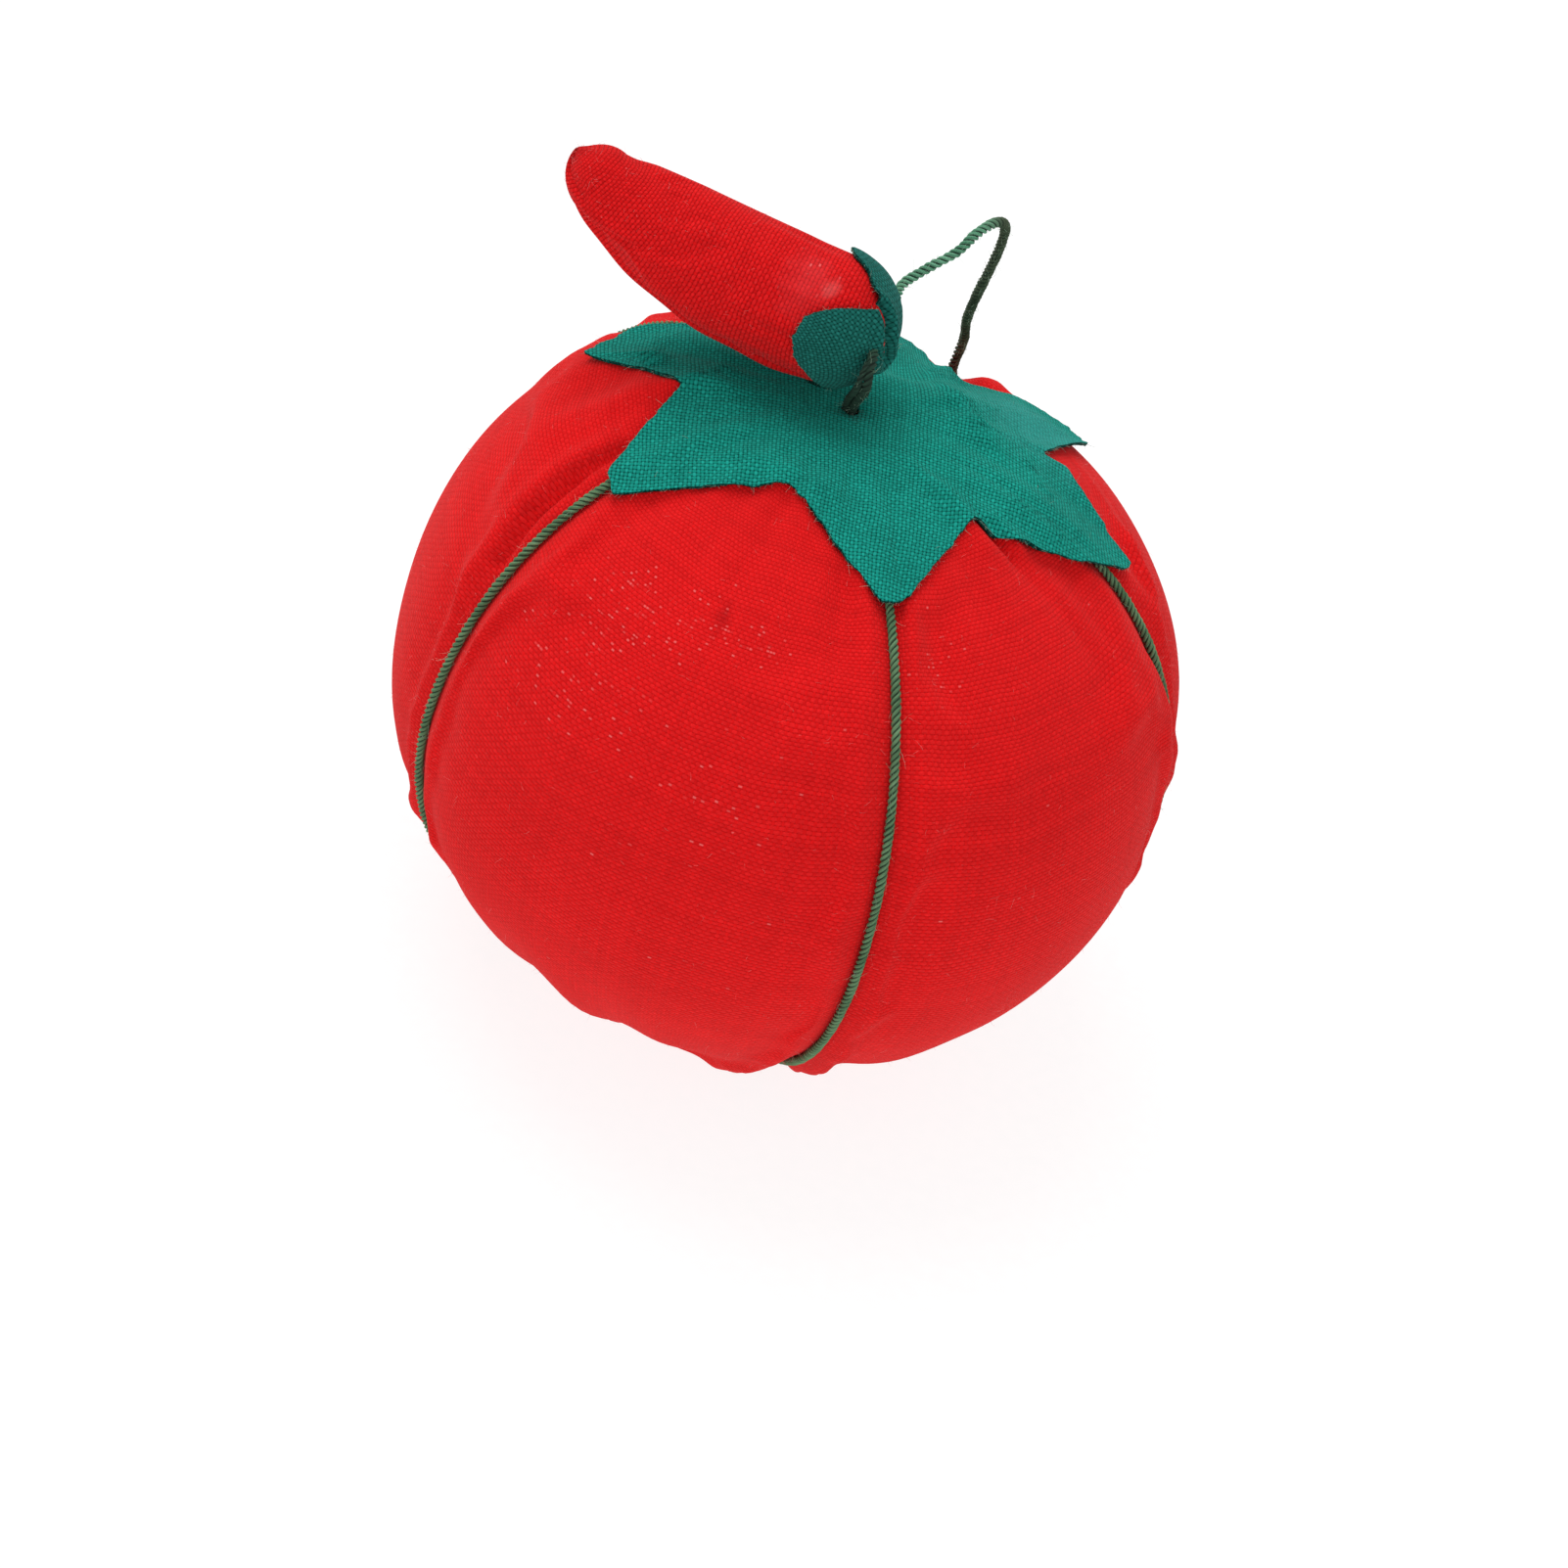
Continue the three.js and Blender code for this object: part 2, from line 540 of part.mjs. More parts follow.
const KNOT_DIAMETER = 1.3;
const [footX, footY, footZ] = TETHER_FOOT[0];
const tetherKnotAt = new THREE.Vector3(footX, footY, footZ - 0.3 - KNOT_DIAMETER / 2);
pinCushion.add(namedMesh('tether_knot', knot(KNOT_DIAMETER, tetherKnotAt), COLOURS.thread));
pinCushion.add(namedMesh('tether_thread', tetherThread(), COLOURS.thread));

pinCushion.add(namedMesh('chili_cover', bored(faceOut(chiliCover())), COLOURS.red));
pinCushion.add(namedMesh('chili_filling', bored(faceOut(chiliFilling())), COLOURS.emery));
const CHILI_STITCH = { radius: 0.75, diameter: 0.3, distance: -4.75 };
const chiliStitchAt = chiliSurface(CHILI_STITCH.distance, 0, -CHILI_RADIUS)
  .addScaledVector(new THREE.Vector3(CHILI_HEADING.x, CHILI_HEADING.y, 0), CHILI_STITCH.distance);
pinCushion.add(namedMesh('chili_gather_stitch', ringStitch(CHILI_STITCH.radius, CHILI_STITCH.diameter,
  chiliStitchAt, new THREE.Vector3(CHILI_HEADING.x, CHILI_HEADING.y, 0)), COLOURS.red));
pinCushion.add(namedMesh('chili_cap', bored(faceOut(chiliCap())), COLOURS.green));

export default pinCushion;
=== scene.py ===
"""Looks of a stuffed tomato pin cushion and its chili sharpener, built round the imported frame.

Shapes are worked out in millimetres in the CAD frame and turned into metres when a mesh is made.
"""
import math

import bpy
import numpy as np
from mathutils import Matrix, Vector
from mathutils.bvhtree import BVHTree


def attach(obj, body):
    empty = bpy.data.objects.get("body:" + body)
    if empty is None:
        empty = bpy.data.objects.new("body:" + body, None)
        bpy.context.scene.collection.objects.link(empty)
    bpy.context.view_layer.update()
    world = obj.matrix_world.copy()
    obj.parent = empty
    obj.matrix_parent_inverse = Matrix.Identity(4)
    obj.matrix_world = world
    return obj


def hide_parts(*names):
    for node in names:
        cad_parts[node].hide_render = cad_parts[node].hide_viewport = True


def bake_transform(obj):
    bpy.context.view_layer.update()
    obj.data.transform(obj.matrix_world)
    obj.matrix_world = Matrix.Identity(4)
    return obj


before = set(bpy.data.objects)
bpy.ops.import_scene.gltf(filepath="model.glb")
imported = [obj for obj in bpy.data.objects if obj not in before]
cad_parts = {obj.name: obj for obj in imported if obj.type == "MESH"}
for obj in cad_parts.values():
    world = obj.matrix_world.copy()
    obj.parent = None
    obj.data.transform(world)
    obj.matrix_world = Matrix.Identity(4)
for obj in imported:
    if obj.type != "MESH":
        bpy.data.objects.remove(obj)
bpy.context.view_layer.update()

MM = 0.001
random = np.random.default_rng(21)

# ---------------------------------------------------------------- dimensions, as in the CAD model

TOMATO_RADIUS = 31
EQUATOR_HEIGHT = 25
CROWN_RISE = 26.5
CROWN_FULLNESS = 2.8
BASE_DROP = 26
BASE_FULLNESS = 2.4
CROWN_HEIGHT = EQUATOR_HEIGHT + CROWN_RISE
BASE_EDGE_ANGLE = -math.asin(EQUATOR_HEIGHT / BASE_DROP)
GATHER_RADIUS = 2.4
CROWN_GATHER = np.array([-1.8, 2.0])
GATHER_PULL = 6
CROWN_DIMPLE = (3.2, 4.2)  # depth, width
CALYX_DIMPLE = (0.35, 5.0)  # the laid cloth bridges the gather
BASE_DIMPLE = (2.6, 6.0)
COVER_THICKNESS = 0.6

SEGMENT_AZIMUTHS = np.radians([-122, -56, 22, 88, 168])
FURROW_WIDE = (0.5, 5.0)  # depth, spread
FURROW_NARROW = (0.8, 1.4)  # depth of the crease under a thread, on the side and at the base
FURROW_SPREAD = 1.1
FURROW_END = 2.6
FURROW_BLEND_HEIGHT = 12
CLOTH_CREASE = (0.52, 1.05)  # shallower than the CAD crease, on the side and at the base, to meet the thread

THREAD_DIAMETER = 0.7
THREAD_CLEARANCE = 0.33
CORE_RING_RADIUS = 1
TETHER_LEAVES_AT = 40
LIFT_ANGLE = math.asin((TETHER_LEAVES_AT - EQUATOR_HEIGHT) / CROWN_RISE)

CALYX_HOLE_RADIUS = 0.6
# The star's cut outline: azimuth in degrees and reach from the gather, leaf by leaf, each with its notch
CALYX_OUTLINE = [(-110, 18.9), (-95, 20.6), (-82, 14.2), (-78, 12.8),
                 (-54, 19.2), (-48, 19.7), (-14, 10.7),
                 (20, 18.3), (25.5, 18.4), (55, 13.3),
                 (70, 17), (79, 20.3), (87, 23.1), (90.5, 23.6), (104, 19), (109, 17.8), (111, 15.9),
                 (127.5, 23.1), (134, 23.1), (148, 21.6), (158, 17.6),
                 (169, 20.6), (186, 21), (197, 20), (226, 12.2)]

CHILI_END = np.array([-5.3, 3.7, 57.9])
CHILI_HEADING = np.array([-0.99, 0.14]) / math.hypot(0.99, 0.14)
CHILI_RADIUS = 5.1
CHILI_TIP_RADIUS = 2.9
CHILI_LENGTH = 20
CHILI_TAPER = 2.6
CHILI_CURL = (math.radians(27), 1.3)  # how far it turns up, and how late
CHILI_GATHER_RADIUS = 1.2

# The tether's route in metres: up from the crown, through the chili's cap, and down the back
TETHER_FOOT = [(-0.0018, 0.002, 0.0507), (-0.0018, 0.0019, 0.0517), (-0.00165, 0.0013, 0.053),
               (-0.00145, 0.00035, 0.0543), (-0.0013, -0.00075, 0.0555), (-0.00125, -0.00145, 0.0563),
               (-0.00127, -0.0017, 0.05705), (-0.00132, -0.00151, 0.05778), (-0.00138, -0.00098, 0.0583)]
CAP_ENTRY = (-0.00145, -0.0001, 0.0585)
CAP_EXIT = (-0.0012, 0.007, 0.05915)
TETHER_LOOP = [(-0.001, 0.0084, 0.0594), (0.0003, 0.0096, 0.0605), (0.0022, 0.011, 0.062),
               (0.0031, 0.0124, 0.063), (0.0042, 0.0142, 0.0633), (0.005, 0.0159, 0.0622),
               (0.0052, 0.0173, 0.0596), (0.005, 0.0187, 0.056), (0.0047, 0.0203, 0.0522),
               (0.0046, 0.0222, 0.0486), (0.0049, 0.0243, 0.0452)]


# ---------------------------------------------------------------- surfaces

def azimuth_point(azimuth, radius, height):
    return np.stack(np.broadcast_arrays(radius * np.sin(azimuth), -radius * np.cos(azimuth), height), -1)


def full_turn(count):
    return np.linspace(0, 2 * math.pi, count, endpoint=False)


def bell(distance, width):
    """1 at no distance, falling off smoothly."""
    return np.exp(-((distance / width) ** 2))


def smooth_step(value, low, high):
    share = np.clip((value - low) / (high - low), 0, 1)
    return share * share * (3 - 2 * share)


def turn_between(turn, other):
    return np.arctan2(np.sin(turn - other), np.cos(turn - other))


def unit(vectors):
    return vectors / (np.linalg.norm(vectors, axis=-1, keepdims=True) + 1e-12)


def length_along(points):
    """Distance along each column of points from its first one."""
    steps = np.linalg.norm(np.diff(points, axis=0), axis=-1)
    return np.concatenate([np.zeros_like(steps[:1]), np.cumsum(steps, 0)])


def soften_ring(values, times):
    """Smooths values that lie round a closed line."""
    for _ in range(times):
        values = (np.roll(values, 1) + 2 * values + np.roll(values, -1)) / 4
    return values


def outline(angle):
    """Radius and height of the plain tomato, from -90 degrees at the base to 90 at the crown."""
    top = angle > 0
    fullness = np.where(top, CROWN_FULLNESS, BASE_FULLNESS)
    rise = np.where(top, CROWN_RISE, BASE_DROP)
    radius = TOMATO_RADIUS * np.clip(np.cos(angle), 0, 1) ** (2 / fullness)
    return radius, np.maximum(0, EQUATOR_HEIGHT + rise * np.sin(angle))


def angle_at_radius(radius, top):
    fullness = CROWN_FULLNESS if top else BASE_FULLNESS
    angle = np.arccos(np.clip(np.asarray(radius) / TOMATO_RADIUS, 0, 1) ** (fullness / 2))
    return angle if top else -angle


def outline_normal(angle):
    step = 1e-4
    radius, height = outline(angle)
    next_radius, next_height = outline(angle + step)
    run, rise = next_radius - radius, next_height - height
    size = np.hypot(run, rise) + 1e-12
    flat = angle < BASE_EDGE_ANGLE
    return np.where(flat, 0, rise / size), np.where(flat, -1, -run / size)


def furrow_away(azimuth, radius):
    """Distance round the cloth to the nearest segment thread."""
    turn = turn_between(azimuth[..., None], SEGMENT_AZIMUTHS)
    return np.abs(turn).min(-1) * np.maximum(radius, GATHER_RADIUS)


def furrow_depth(azimuth, radius, height, crease):
    side = smooth_step(height, 0, FURROW_BLEND_HEIGHT)
    wide_depth, wide_spread = FURROW_WIDE
    side_crease, base_crease = crease
    narrow = base_crease + (side_crease - base_crease) * side
    away = furrow_away(azimuth, radius)
    line = np.where(away < FURROW_END, narrow * bell(away, FURROW_SPREAD), 0)
    return wide_depth * side * bell(away, wide_spread) + line


def draw_in(point, dimple):
    """Draws the crown in and leans it over to the gather, and draws the middle of the base up."""
    depth, width = dimple
    radius = np.hypot(point[..., 0], point[..., 1])
    pull = (np.maximum(point[..., 2], 0) / CROWN_HEIGHT) ** GATHER_PULL
    low = np.clip(1 - point[..., 2] / EQUATOR_HEIGHT, 0, 1)
    base_depth, base_radius = BASE_DIMPLE
    base = base_depth * np.clip(1 - (radius / base_radius) ** 2, 0, 1) ** 2 * low
    moved = point.copy()
    moved[..., :2] += CROWN_GATHER * pull[..., None]
    moved[..., 2] += base - depth * bell(radius, width) * pull
    return moved


def tomato_surface(angle, azimuth, offset=0.0, crease=FURROW_NARROW):
    angle, azimuth = np.broadcast_arrays(np.asarray(angle, float), np.asarray(azimuth, float))
    radius, height = outline(angle)
    out_r, out_z = outline_normal(angle)
    out = offset - furrow_depth(azimuth, radius, height, crease)
    return draw_in(azimuth_point(azimuth, radius + out_r * out, height + out_z * out), CROWN_DIMPLE)


def leaned_point(azimuth, radius, height):
    point = azimuth_point(azimuth, radius, height)
    point[..., :2] += CROWN_GATHER * ((np.asarray(height) / CROWN_HEIGHT) ** GATHER_PULL)[..., None]
    return point


def crown_over(azimuth, reach, offset):
    """Points over the unfurrowed crown, given by azimuth and reach from the gather."""
    flat = azimuth_point(azimuth, reach, 0.0)
    guess = flat.copy()
    for _ in range(10):
        radius = np.minimum(np.hypot(guess[..., 0], guess[..., 1]), TOMATO_RADIUS - 0.1)
        height = outline(angle_at_radius(radius, True))[1]
        drawn = draw_in(np.stack([guess[..., 0], guess[..., 1], height], -1), CALYX_DIMPLE)
        guess[..., :2] += flat[..., :2] + CROWN_GATHER - drawn[..., :2]
        guess[..., 2] = drawn[..., 2]
    radius = np.hypot(guess[..., 0], guess[..., 1])
    out_r, out_z = outline_normal(angle_at_radius(np.maximum(radius, 1), True))
    around = np.arctan2(guess[..., 0], -guess[..., 1])
    side = azimuth_point(around, out_r * offset, out_z * offset)
    flat[..., :2] += CROWN_GATHER
    flat[..., 2] = guess[..., 2]
    return flat + side


def chili_lift(station):
    angle, growth = CHILI_CURL
    return angle * (np.clip(station, 0, CHILI_LENGTH) / CHILI_LENGTH) ** growth


def chili_forward(station):
    """Unit vector along the chili's middle line."""
    lift = chili_lift(station)
    across_x, across_y = CHILI_HEADING
    return np.stack([np.cos(lift) * across_x, np.cos(lift) * across_y, np.sin(lift)], -1)


LINE_STATIONS = np.linspace(0, CHILI_LENGTH, 401)
LINE_STEPS = chili_forward((LINE_STATIONS[1:] + LINE_STATIONS[:-1]) / 2) * LINE_STATIONS[1]
CHILI_LINE = CHILI_END + np.vstack([np.zeros(3), np.cumsum(LINE_STEPS, 0)])


def chili_radius(station):
    taper = 1 - (np.clip(station, 0, CHILI_LENGTH) / CHILI_LENGTH) ** CHILI_TAPER
    return CHILI_TIP_RADIUS + (CHILI_RADIUS - CHILI_TIP_RADIUS) * taper


def chili_surface(station, turn, offset=0.0):
    """A point on the chili's skin: turn is 0 at the side that faces the front, then goes up and over."""
    station, turn, offset = np.broadcast_arrays(np.asarray(station, float), turn, offset)
    middle = np.clip(station, 0, CHILI_LENGTH)
    plain = chili_radius(middle)
    full = plain + offset
    along = (station - middle) * full / plain
    across = np.sqrt(np.maximum(0, full ** 2 - along ** 2))
    forward = chili_forward(middle)
    side = np.array([-CHILI_HEADING[1], CHILI_HEADING[0], 0.0])
    up = np.cross(forward, side)
    centre = np.stack([np.interp(middle, LINE_STATIONS, CHILI_LINE[:, k]) for k in range(3)], -1)
    return (centre + forward * along[..., None] + side * (across * np.cos(turn))[..., None]
            + up * (across * np.sin(turn))[..., None])


def station_from_pole(reach):
    """Station of a point that lies so far along the cloth from the round end's pole."""
    quarter = CHILI_RADIUS * math.pi / 2
    return np.where(reach < quarter, -CHILI_RADIUS * np.cos(np.minimum(reach, quarter) / CHILI_RADIUS),
                    reach - quarter)


# ---------------------------------------------------------------- meshes

class Builder:
    """Collects grids of points into one mesh, with a UV at every face corner."""

    def __init__(self):
        self.points, self.corners, self.uvs, self.sizes, self.slots = [], [], [], [], []
        self.count = 0

    def _faces(self, corners, uvs, slot):
        self.corners.append(corners.reshape(-1))
        self.uvs.append(uvs.reshape(-1, 2))
        self.sizes.append(np.full(len(corners), corners.shape[1]))
        self.slots.append(np.broadcast_to(slot, len(corners)))

    def grid(self, points, uv, around=False, round_rows=False, caps=False, slot=0, flip=False):
        """points is (copies, rows, columns, 3). uv has one more row or column where the grid is joined up.

        slot is one material slot, or one for each row of faces.
        """
        if points.ndim == 3:
            points, uv = points[None], uv[None]
        copies, rows, columns = points.shape[:3]
        uv = np.broadcast_to(uv, (copies, *uv.shape[1:]))
        index = self.count + np.arange(copies * rows * columns).reshape(copies, rows, columns)
        if around:
            index = np.concatenate([index, index[:, :, :1]], 2)
        if round_rows:
            index = np.concatenate([index, index[:, :1]], 1)

        def ring(values):
            parts = [values[:, :-1, :-1], values[:, :-1, 1:], values[:, 1:, 1:], values[:, 1:, :-1]]
            return parts[::-1] if flip else parts

        slot = np.broadcast_to(slot, index.shape[1] - 1)
        corners = np.stack(ring(index), -1).reshape(-1, 4)
        uvs = np.stack(ring(uv), -2).reshape(-1, 4, 2)
        self._faces(corners, uvs, np.tile(np.repeat(slot, index.shape[2] - 1), copies))
        if caps:
            for row, turned in ((0, not flip), (rows - 1, flip)):
                loop = index[:, row, :columns]
                loop_uv = uv[:, row, :columns]
                if turned:
                    loop, loop_uv = loop[:, ::-1], loop_uv[:, ::-1]
                self._faces(loop, loop_uv, slot[0])
        self.points.append(points.reshape(-1, 3))
        self.count += copies * rows * columns

    def object(self, name, materials):
        points = np.concatenate(self.points) * MM
        corners = np.concatenate(self.corners).astype(np.int32)
        sizes = np.concatenate(self.sizes)
        mesh = bpy.data.meshes.new(name)
        mesh.vertices.add(len(points))
        mesh.vertices.foreach_set("co", points.astype(np.float32).ravel())
        mesh.loops.add(len(corners))
        mesh.loops.foreach_set("vertex_index", corners)
        mesh.polygons.add(len(sizes))
        mesh.polygons.foreach_set("loop_start", np.concatenate([[0], np.cumsum(sizes)[:-1]]).astype(np.int32))
        mesh.polygons.foreach_set("material_index", np.concatenate(self.slots).astype(np.int32))
        mesh.polygons.foreach_set("use_smooth", np.ones(len(sizes), bool))
        layer = mesh.uv_layers.new(name="weave")
        layer.data.foreach_set("uv", np.concatenate(self.uvs).astype(np.float32).ravel())
        mesh.update(calc_edges=True)
        mesh.validate()
        for material in materials:
            mesh.materials.append(material)
        piece = bpy.data.objects.new(name, mesh)
        bpy.context.scene.collection.objects.link(piece)
        return piece


def grid_piece(name, materials, points, uv, **joins):
    """A piece made of one grid."""
    builder = Builder()
    builder.grid(points, uv, **joins)
    return builder.object(name, materials)


def place(piece, body, node=None):
    """Fixes a piece to its body, and hides the CAD node that it stands for."""
    if node:
        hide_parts(node)
    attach(piece, body)


def smooth_path(points, step):
    """An even-stepped centripetal Catmull-Rom curve through the points."""
    given = np.asarray(points, float)
    given = np.vstack([2 * given[0] - given[1], given, 2 * given[-1] - given[-2]])
    fine = []
    for p0, p1, p2, p3 in zip(given, given[1:], given[2:], given[3:]):
        k1 = math.sqrt(np.linalg.norm(p1 - p0))
        k2 = k1 + math.sqrt(np.linalg.norm(p2 - p1))
        k3 = k2 + math.sqrt(np.linalg.norm(p3 - p2))
        t = np.linspace(k1, k2, 24, endpoint=False)[:, None]
        a1 = (k1 - t) / k1 * p0 + t / k1 * p1
        a2 = (k2 - t) / (k2 - k1) * p1 + (t - k1) / (k2 - k1) * p2
        a3 = (k3 - t) / (k3 - k2) * p2 + (t - k2) / (k3 - k2) * p3
        b1 = (k2 - t) / k2 * a1 + t / k2 * a2
        b2 = (k3 - t) / (k3 - k1) * a2 + (t - k1) / (k3 - k1) * a3
        fine.append((k2 - t) / (k2 - k1) * b1 + (t - k1) / (k2 - k1) * b2)
    fine = np.vstack([*fine, given[-2]])
    length = length_along(fine)
    even = np.linspace(0, length[-1], max(3, round(length[-1] / step) + 1))
    return np.stack([np.interp(even, length, fine[:, k]) for k in range(3)], -1), even


def path_frames(path):
    """Two unit vectors across the path at each point, carried along it without twist."""
    tangent = unit(np.gradient(path, axis=0))
    across = np.cross(tangent[0], [0.3, 0.9, 0.2])
    first = []
    for t in tangent:
        across = across - t * across.dot(t)
        across /= np.linalg.norm(across)
        first.append(across)
    first = np.array(first)
    return first, np.cross(tangent, first)


HAIR_CURLS = {"wiggle": 0.12, "waves": 9, "thin_to": 0.25}


def fibres(builder, roots, ways, lengths, radius, slot, bend=0.5, rings=5):
    """Short loose hairs: thin tapered tubes that leave each root and curl to one side."""
    count = len(roots)
    curl = unit(np.cross(ways, random.normal(size=(count, 3)))) * bend
    share = np.linspace(0, 1, rings)[None, :, None]
    reach = lengths[:, None, None]
    phase = random.uniform(0, 6, (count, 1, 1))
    wiggle = HAIR_CURLS["wiggle"] * np.sin(share * HAIR_CURLS["waves"] + phase) * share
    line = roots[:, None] + ways[:, None] * share * reach + curl[:, None] * (share ** 2 + wiggle) * reach
    first = unit(np.cross(ways, curl))
    second = unit(np.cross(ways, first))
    turn = np.array([0, 2.1, 4.2])[:, None]
    width = radius * (1 - (1 - HAIR_CURLS["thin_to"]) * share[..., None])
    ring = first[:, None, None] * np.cos(turn) + second[:, None, None] * np.sin(turn)
    uv = np.zeros((count, rings, len(turn) + 1, 2))
    uv[..., 0] = random.uniform(0, 1, (count, 1, 1))
    uv[..., 1] = share
    builder.grid(line[:, :, None] + ring * width, uv, around=True, caps=True, slot=slot)


PLY_LAY = 1.5  # length of one whole turn of the plies
PLY_SIDES = 6
PLY_RADIUS = 0.28  # of the thread's diameter
PLY_REACH = 0.53  # how far the plies reach from the thread's middle line, of its diameter
HAIR_LEAN = (0.15, 0.9)  # how far hairs lean out from the surface they lie along
HAIR_FLOOR = 1.2  # no hair grows lower, so that none reaches below the base


def twisted_thread(builder, path_points, diameter, plies=3, step=0.13, lay=PLY_LAY, hair=2.2):
    """A plied thread along the points: lobed tube that twists, with loose hairs. Returns its path."""
    path, along = smooth_path(path_points, step)
    first, second = path_frames(path)
    ply_radius = PLY_RADIUS * diameter
    ply_offset = PLY_REACH * diameter - ply_radius
    sides = plies * PLY_SIDES
    within = ((np.arange(sides) % PLY_SIDES) / PLY_SIDES * 2 - 1) * math.pi / plies
    lobe = ply_offset * np.cos(within) + np.sqrt(ply_radius ** 2 - (ply_offset * np.sin(within)) ** 2)
    slack = sum(random.uniform(0.2, 1) * np.sin(along / wave + random.uniform(0, 6))
                for wave in (0.9, 2.3, 4.1))
    twist = 2 * math.pi * along / lay + 0.25 * slack
    turn = np.arange(sides) / sides * 2 * math.pi + twist[:, None]
    thickness = 1 + 0.03 * sum(np.sin(along / wave + random.uniform(0, 6)) for wave in (0.31, 0.77, 1.9))
    ring = first[:, None] * np.cos(turn)[..., None] + second[:, None] * np.sin(turn)[..., None]
    points = path[:, None] + ring * (lobe * thickness[:, None])[..., None]
    uv = np.stack(np.broadcast_arrays(np.arange(sides + 1) / PLY_SIDES, along[:, None]), -1)
    builder.grid(points, uv, around=True, caps=True)
    where = random.integers(2, len(path) - 2, int(along[-1] * hair))
    where = where[path[where, 2] > HAIR_FLOOR]
    count = len(where)
    which = random.integers(0, sides, count)
    out = ring[where, which]
    tangent = unit(path[where + 1] - path[where - 1])
    ways = unit(out * random.uniform(*HAIR_LEAN, (count, 1)) + tangent * random.choice([-1, 1], (count, 1)))
    lengths = random.gamma(3, 0.16, count) + 0.1
    fibres(builder, points[where, which] - out * 0.03, ways, lengths, 0.014, 1)
    return path


# ---------------------------------------------------------------- materials

def linear(red, green, blue):
    """Scene-linear colour from the usual 0 to 255 numbers."""
    return tuple(((c / 255 + 0.055) / 1.055) ** 2.4 if c > 10 else c / 255 / 12.92
                 for c in (red, green, blue)) + (1.0,)


class Value:
    """A number in a material, so that its arithmetic can be written with signs."""

    def __init__(self, nodes, socket):
        self.nodes = nodes
        self.socket = socket

    def __add__(self, other):
        return self.nodes.math("ADD", self, other)

    def __sub__(self, other):
        return self.nodes.math("SUBTRACT", self, other)

    def __rsub__(self, other):
        return self.nodes.math("SUBTRACT", other, self)

    def __mul__(self, other):
        return self.nodes.math("MULTIPLY", self, other)

    def __truediv__(self, other):
        return self.nodes.math("DIVIDE", self, other)


class Nodes:
    """A material's node tree, with short calls for the nodes used here."""

    def __init__(self, name):
        self.material = bpy.data.materials.new(name)
        self.material.use_nodes = True
        self.tree = self.material.node_tree
        self.tree.nodes.clear()

    def add(self, kind, inputs=(), **settings):
        node = self.tree.nodes.new(kind)
        for key, value in settings.items():
            setattr(node, key, value)
        for key, value in dict(inputs).items():
            self.put(node.inputs[key], value)
        return node

    def put(self, socket, value):
        if isinstance(value, Value):
            self.tree.links.new(value.socket, socket)
        elif isinstance(value, bpy.types.NodeSocket):
            self.tree.links.new(value, socket)
        else:
            socket.default_value = value

    def math(self, operation, *values, clamp=False):
        node = self.add("ShaderNodeMath", dict(enumerate(values)), operation=operation, use_clamp=clamp)
        return Value(self, node.outputs[0])

    def step(self, value, low, high, to_low=0.0, to_high=1.0):
        limits = {"Value": value, "From Min": low, "From Max": high, "To Min": to_low, "To Max": to_high}
        node = self.add("ShaderNodeMapRange", interpolation_type="SMOOTHSTEP")
        for key, item in limits.items():
            self.put(node.inputs[key], item)
        return Value(self, node.outputs[0])

    def vector(self, x, y, z=0.0):
        return self.add("ShaderNodeCombineXYZ", {"X": x, "Y": y, "Z": z}).outputs[0]

    def noise(self, vector, scale, detail=2.0, roughness=0.5):
        inputs = {"Vector": vector, "Scale": scale, "Detail": detail, "Roughness": roughness}
        return Value(self, self.add("ShaderNodeTexNoise", inputs).outputs[0])

    def random_cell(self, x, y):
        node = self.add("ShaderNodeTexWhiteNoise", {"Vector": self.vector(x, y)}, noise_dimensions="2D")
        return Value(self, node.outputs[0])

    def colour(self, factor, a, b, blend="MIX"):
        node = self.add("ShaderNodeMix", data_type="RGBA", blend_type=blend)
        for number, value in ((0, factor), (6, a), (7, b)):
            self.put(node.inputs[number], value)
        return node.outputs[2]

    def uv(self):
        """The woven map: U and V."""
        split = self.add("ShaderNodeSeparateXYZ")
        self.put(split.inputs[0], self.add("ShaderNodeUVMap", uv_map="weave").outputs[0])
        return Value(self, split.outputs[0]), Value(self, split.outputs[1])

    def place(self):
        return self.add("ShaderNodeTexCoord").outputs["Object"]

    def finish(self, colour, roughness, height=None, depth=0.0, **sockets):
        shader = self.add("ShaderNodeBsdfPrincipled", {"Base Color": colour, "Roughness": roughness})
        for key, value in sockets.items():
            self.put(shader.inputs[key.replace("_", " ")], value)
        if height is not None:
            bump = self.add("ShaderNodeBump", {"Height": height, "Distance": depth, "Strength": 1.0})
            self.put(shader.inputs["Normal"], bump.outputs[0])
        out = self.add("ShaderNodeOutputMaterial")
        self.tree.links.new(shader.outputs[0], out.inputs[0])
        return self.material


def patch_edge(n, u, v, middle, spread, noise):
    """0 in the middle of an oval patch and 1 at its edge, made ragged by the noise."""
    du = (u - middle[0]) / spread[0]
    dv = (v - middle[1]) / spread[1]
    return n.math("SQRT", du * du + dv * dv) + noise


SLUB = (0.25, 0.75, 0.8, 1.15)  # how a yarn's thickness follows the noise
RARE_SLUBS = 0.0012  # share of crossings that are bright away from the clusters


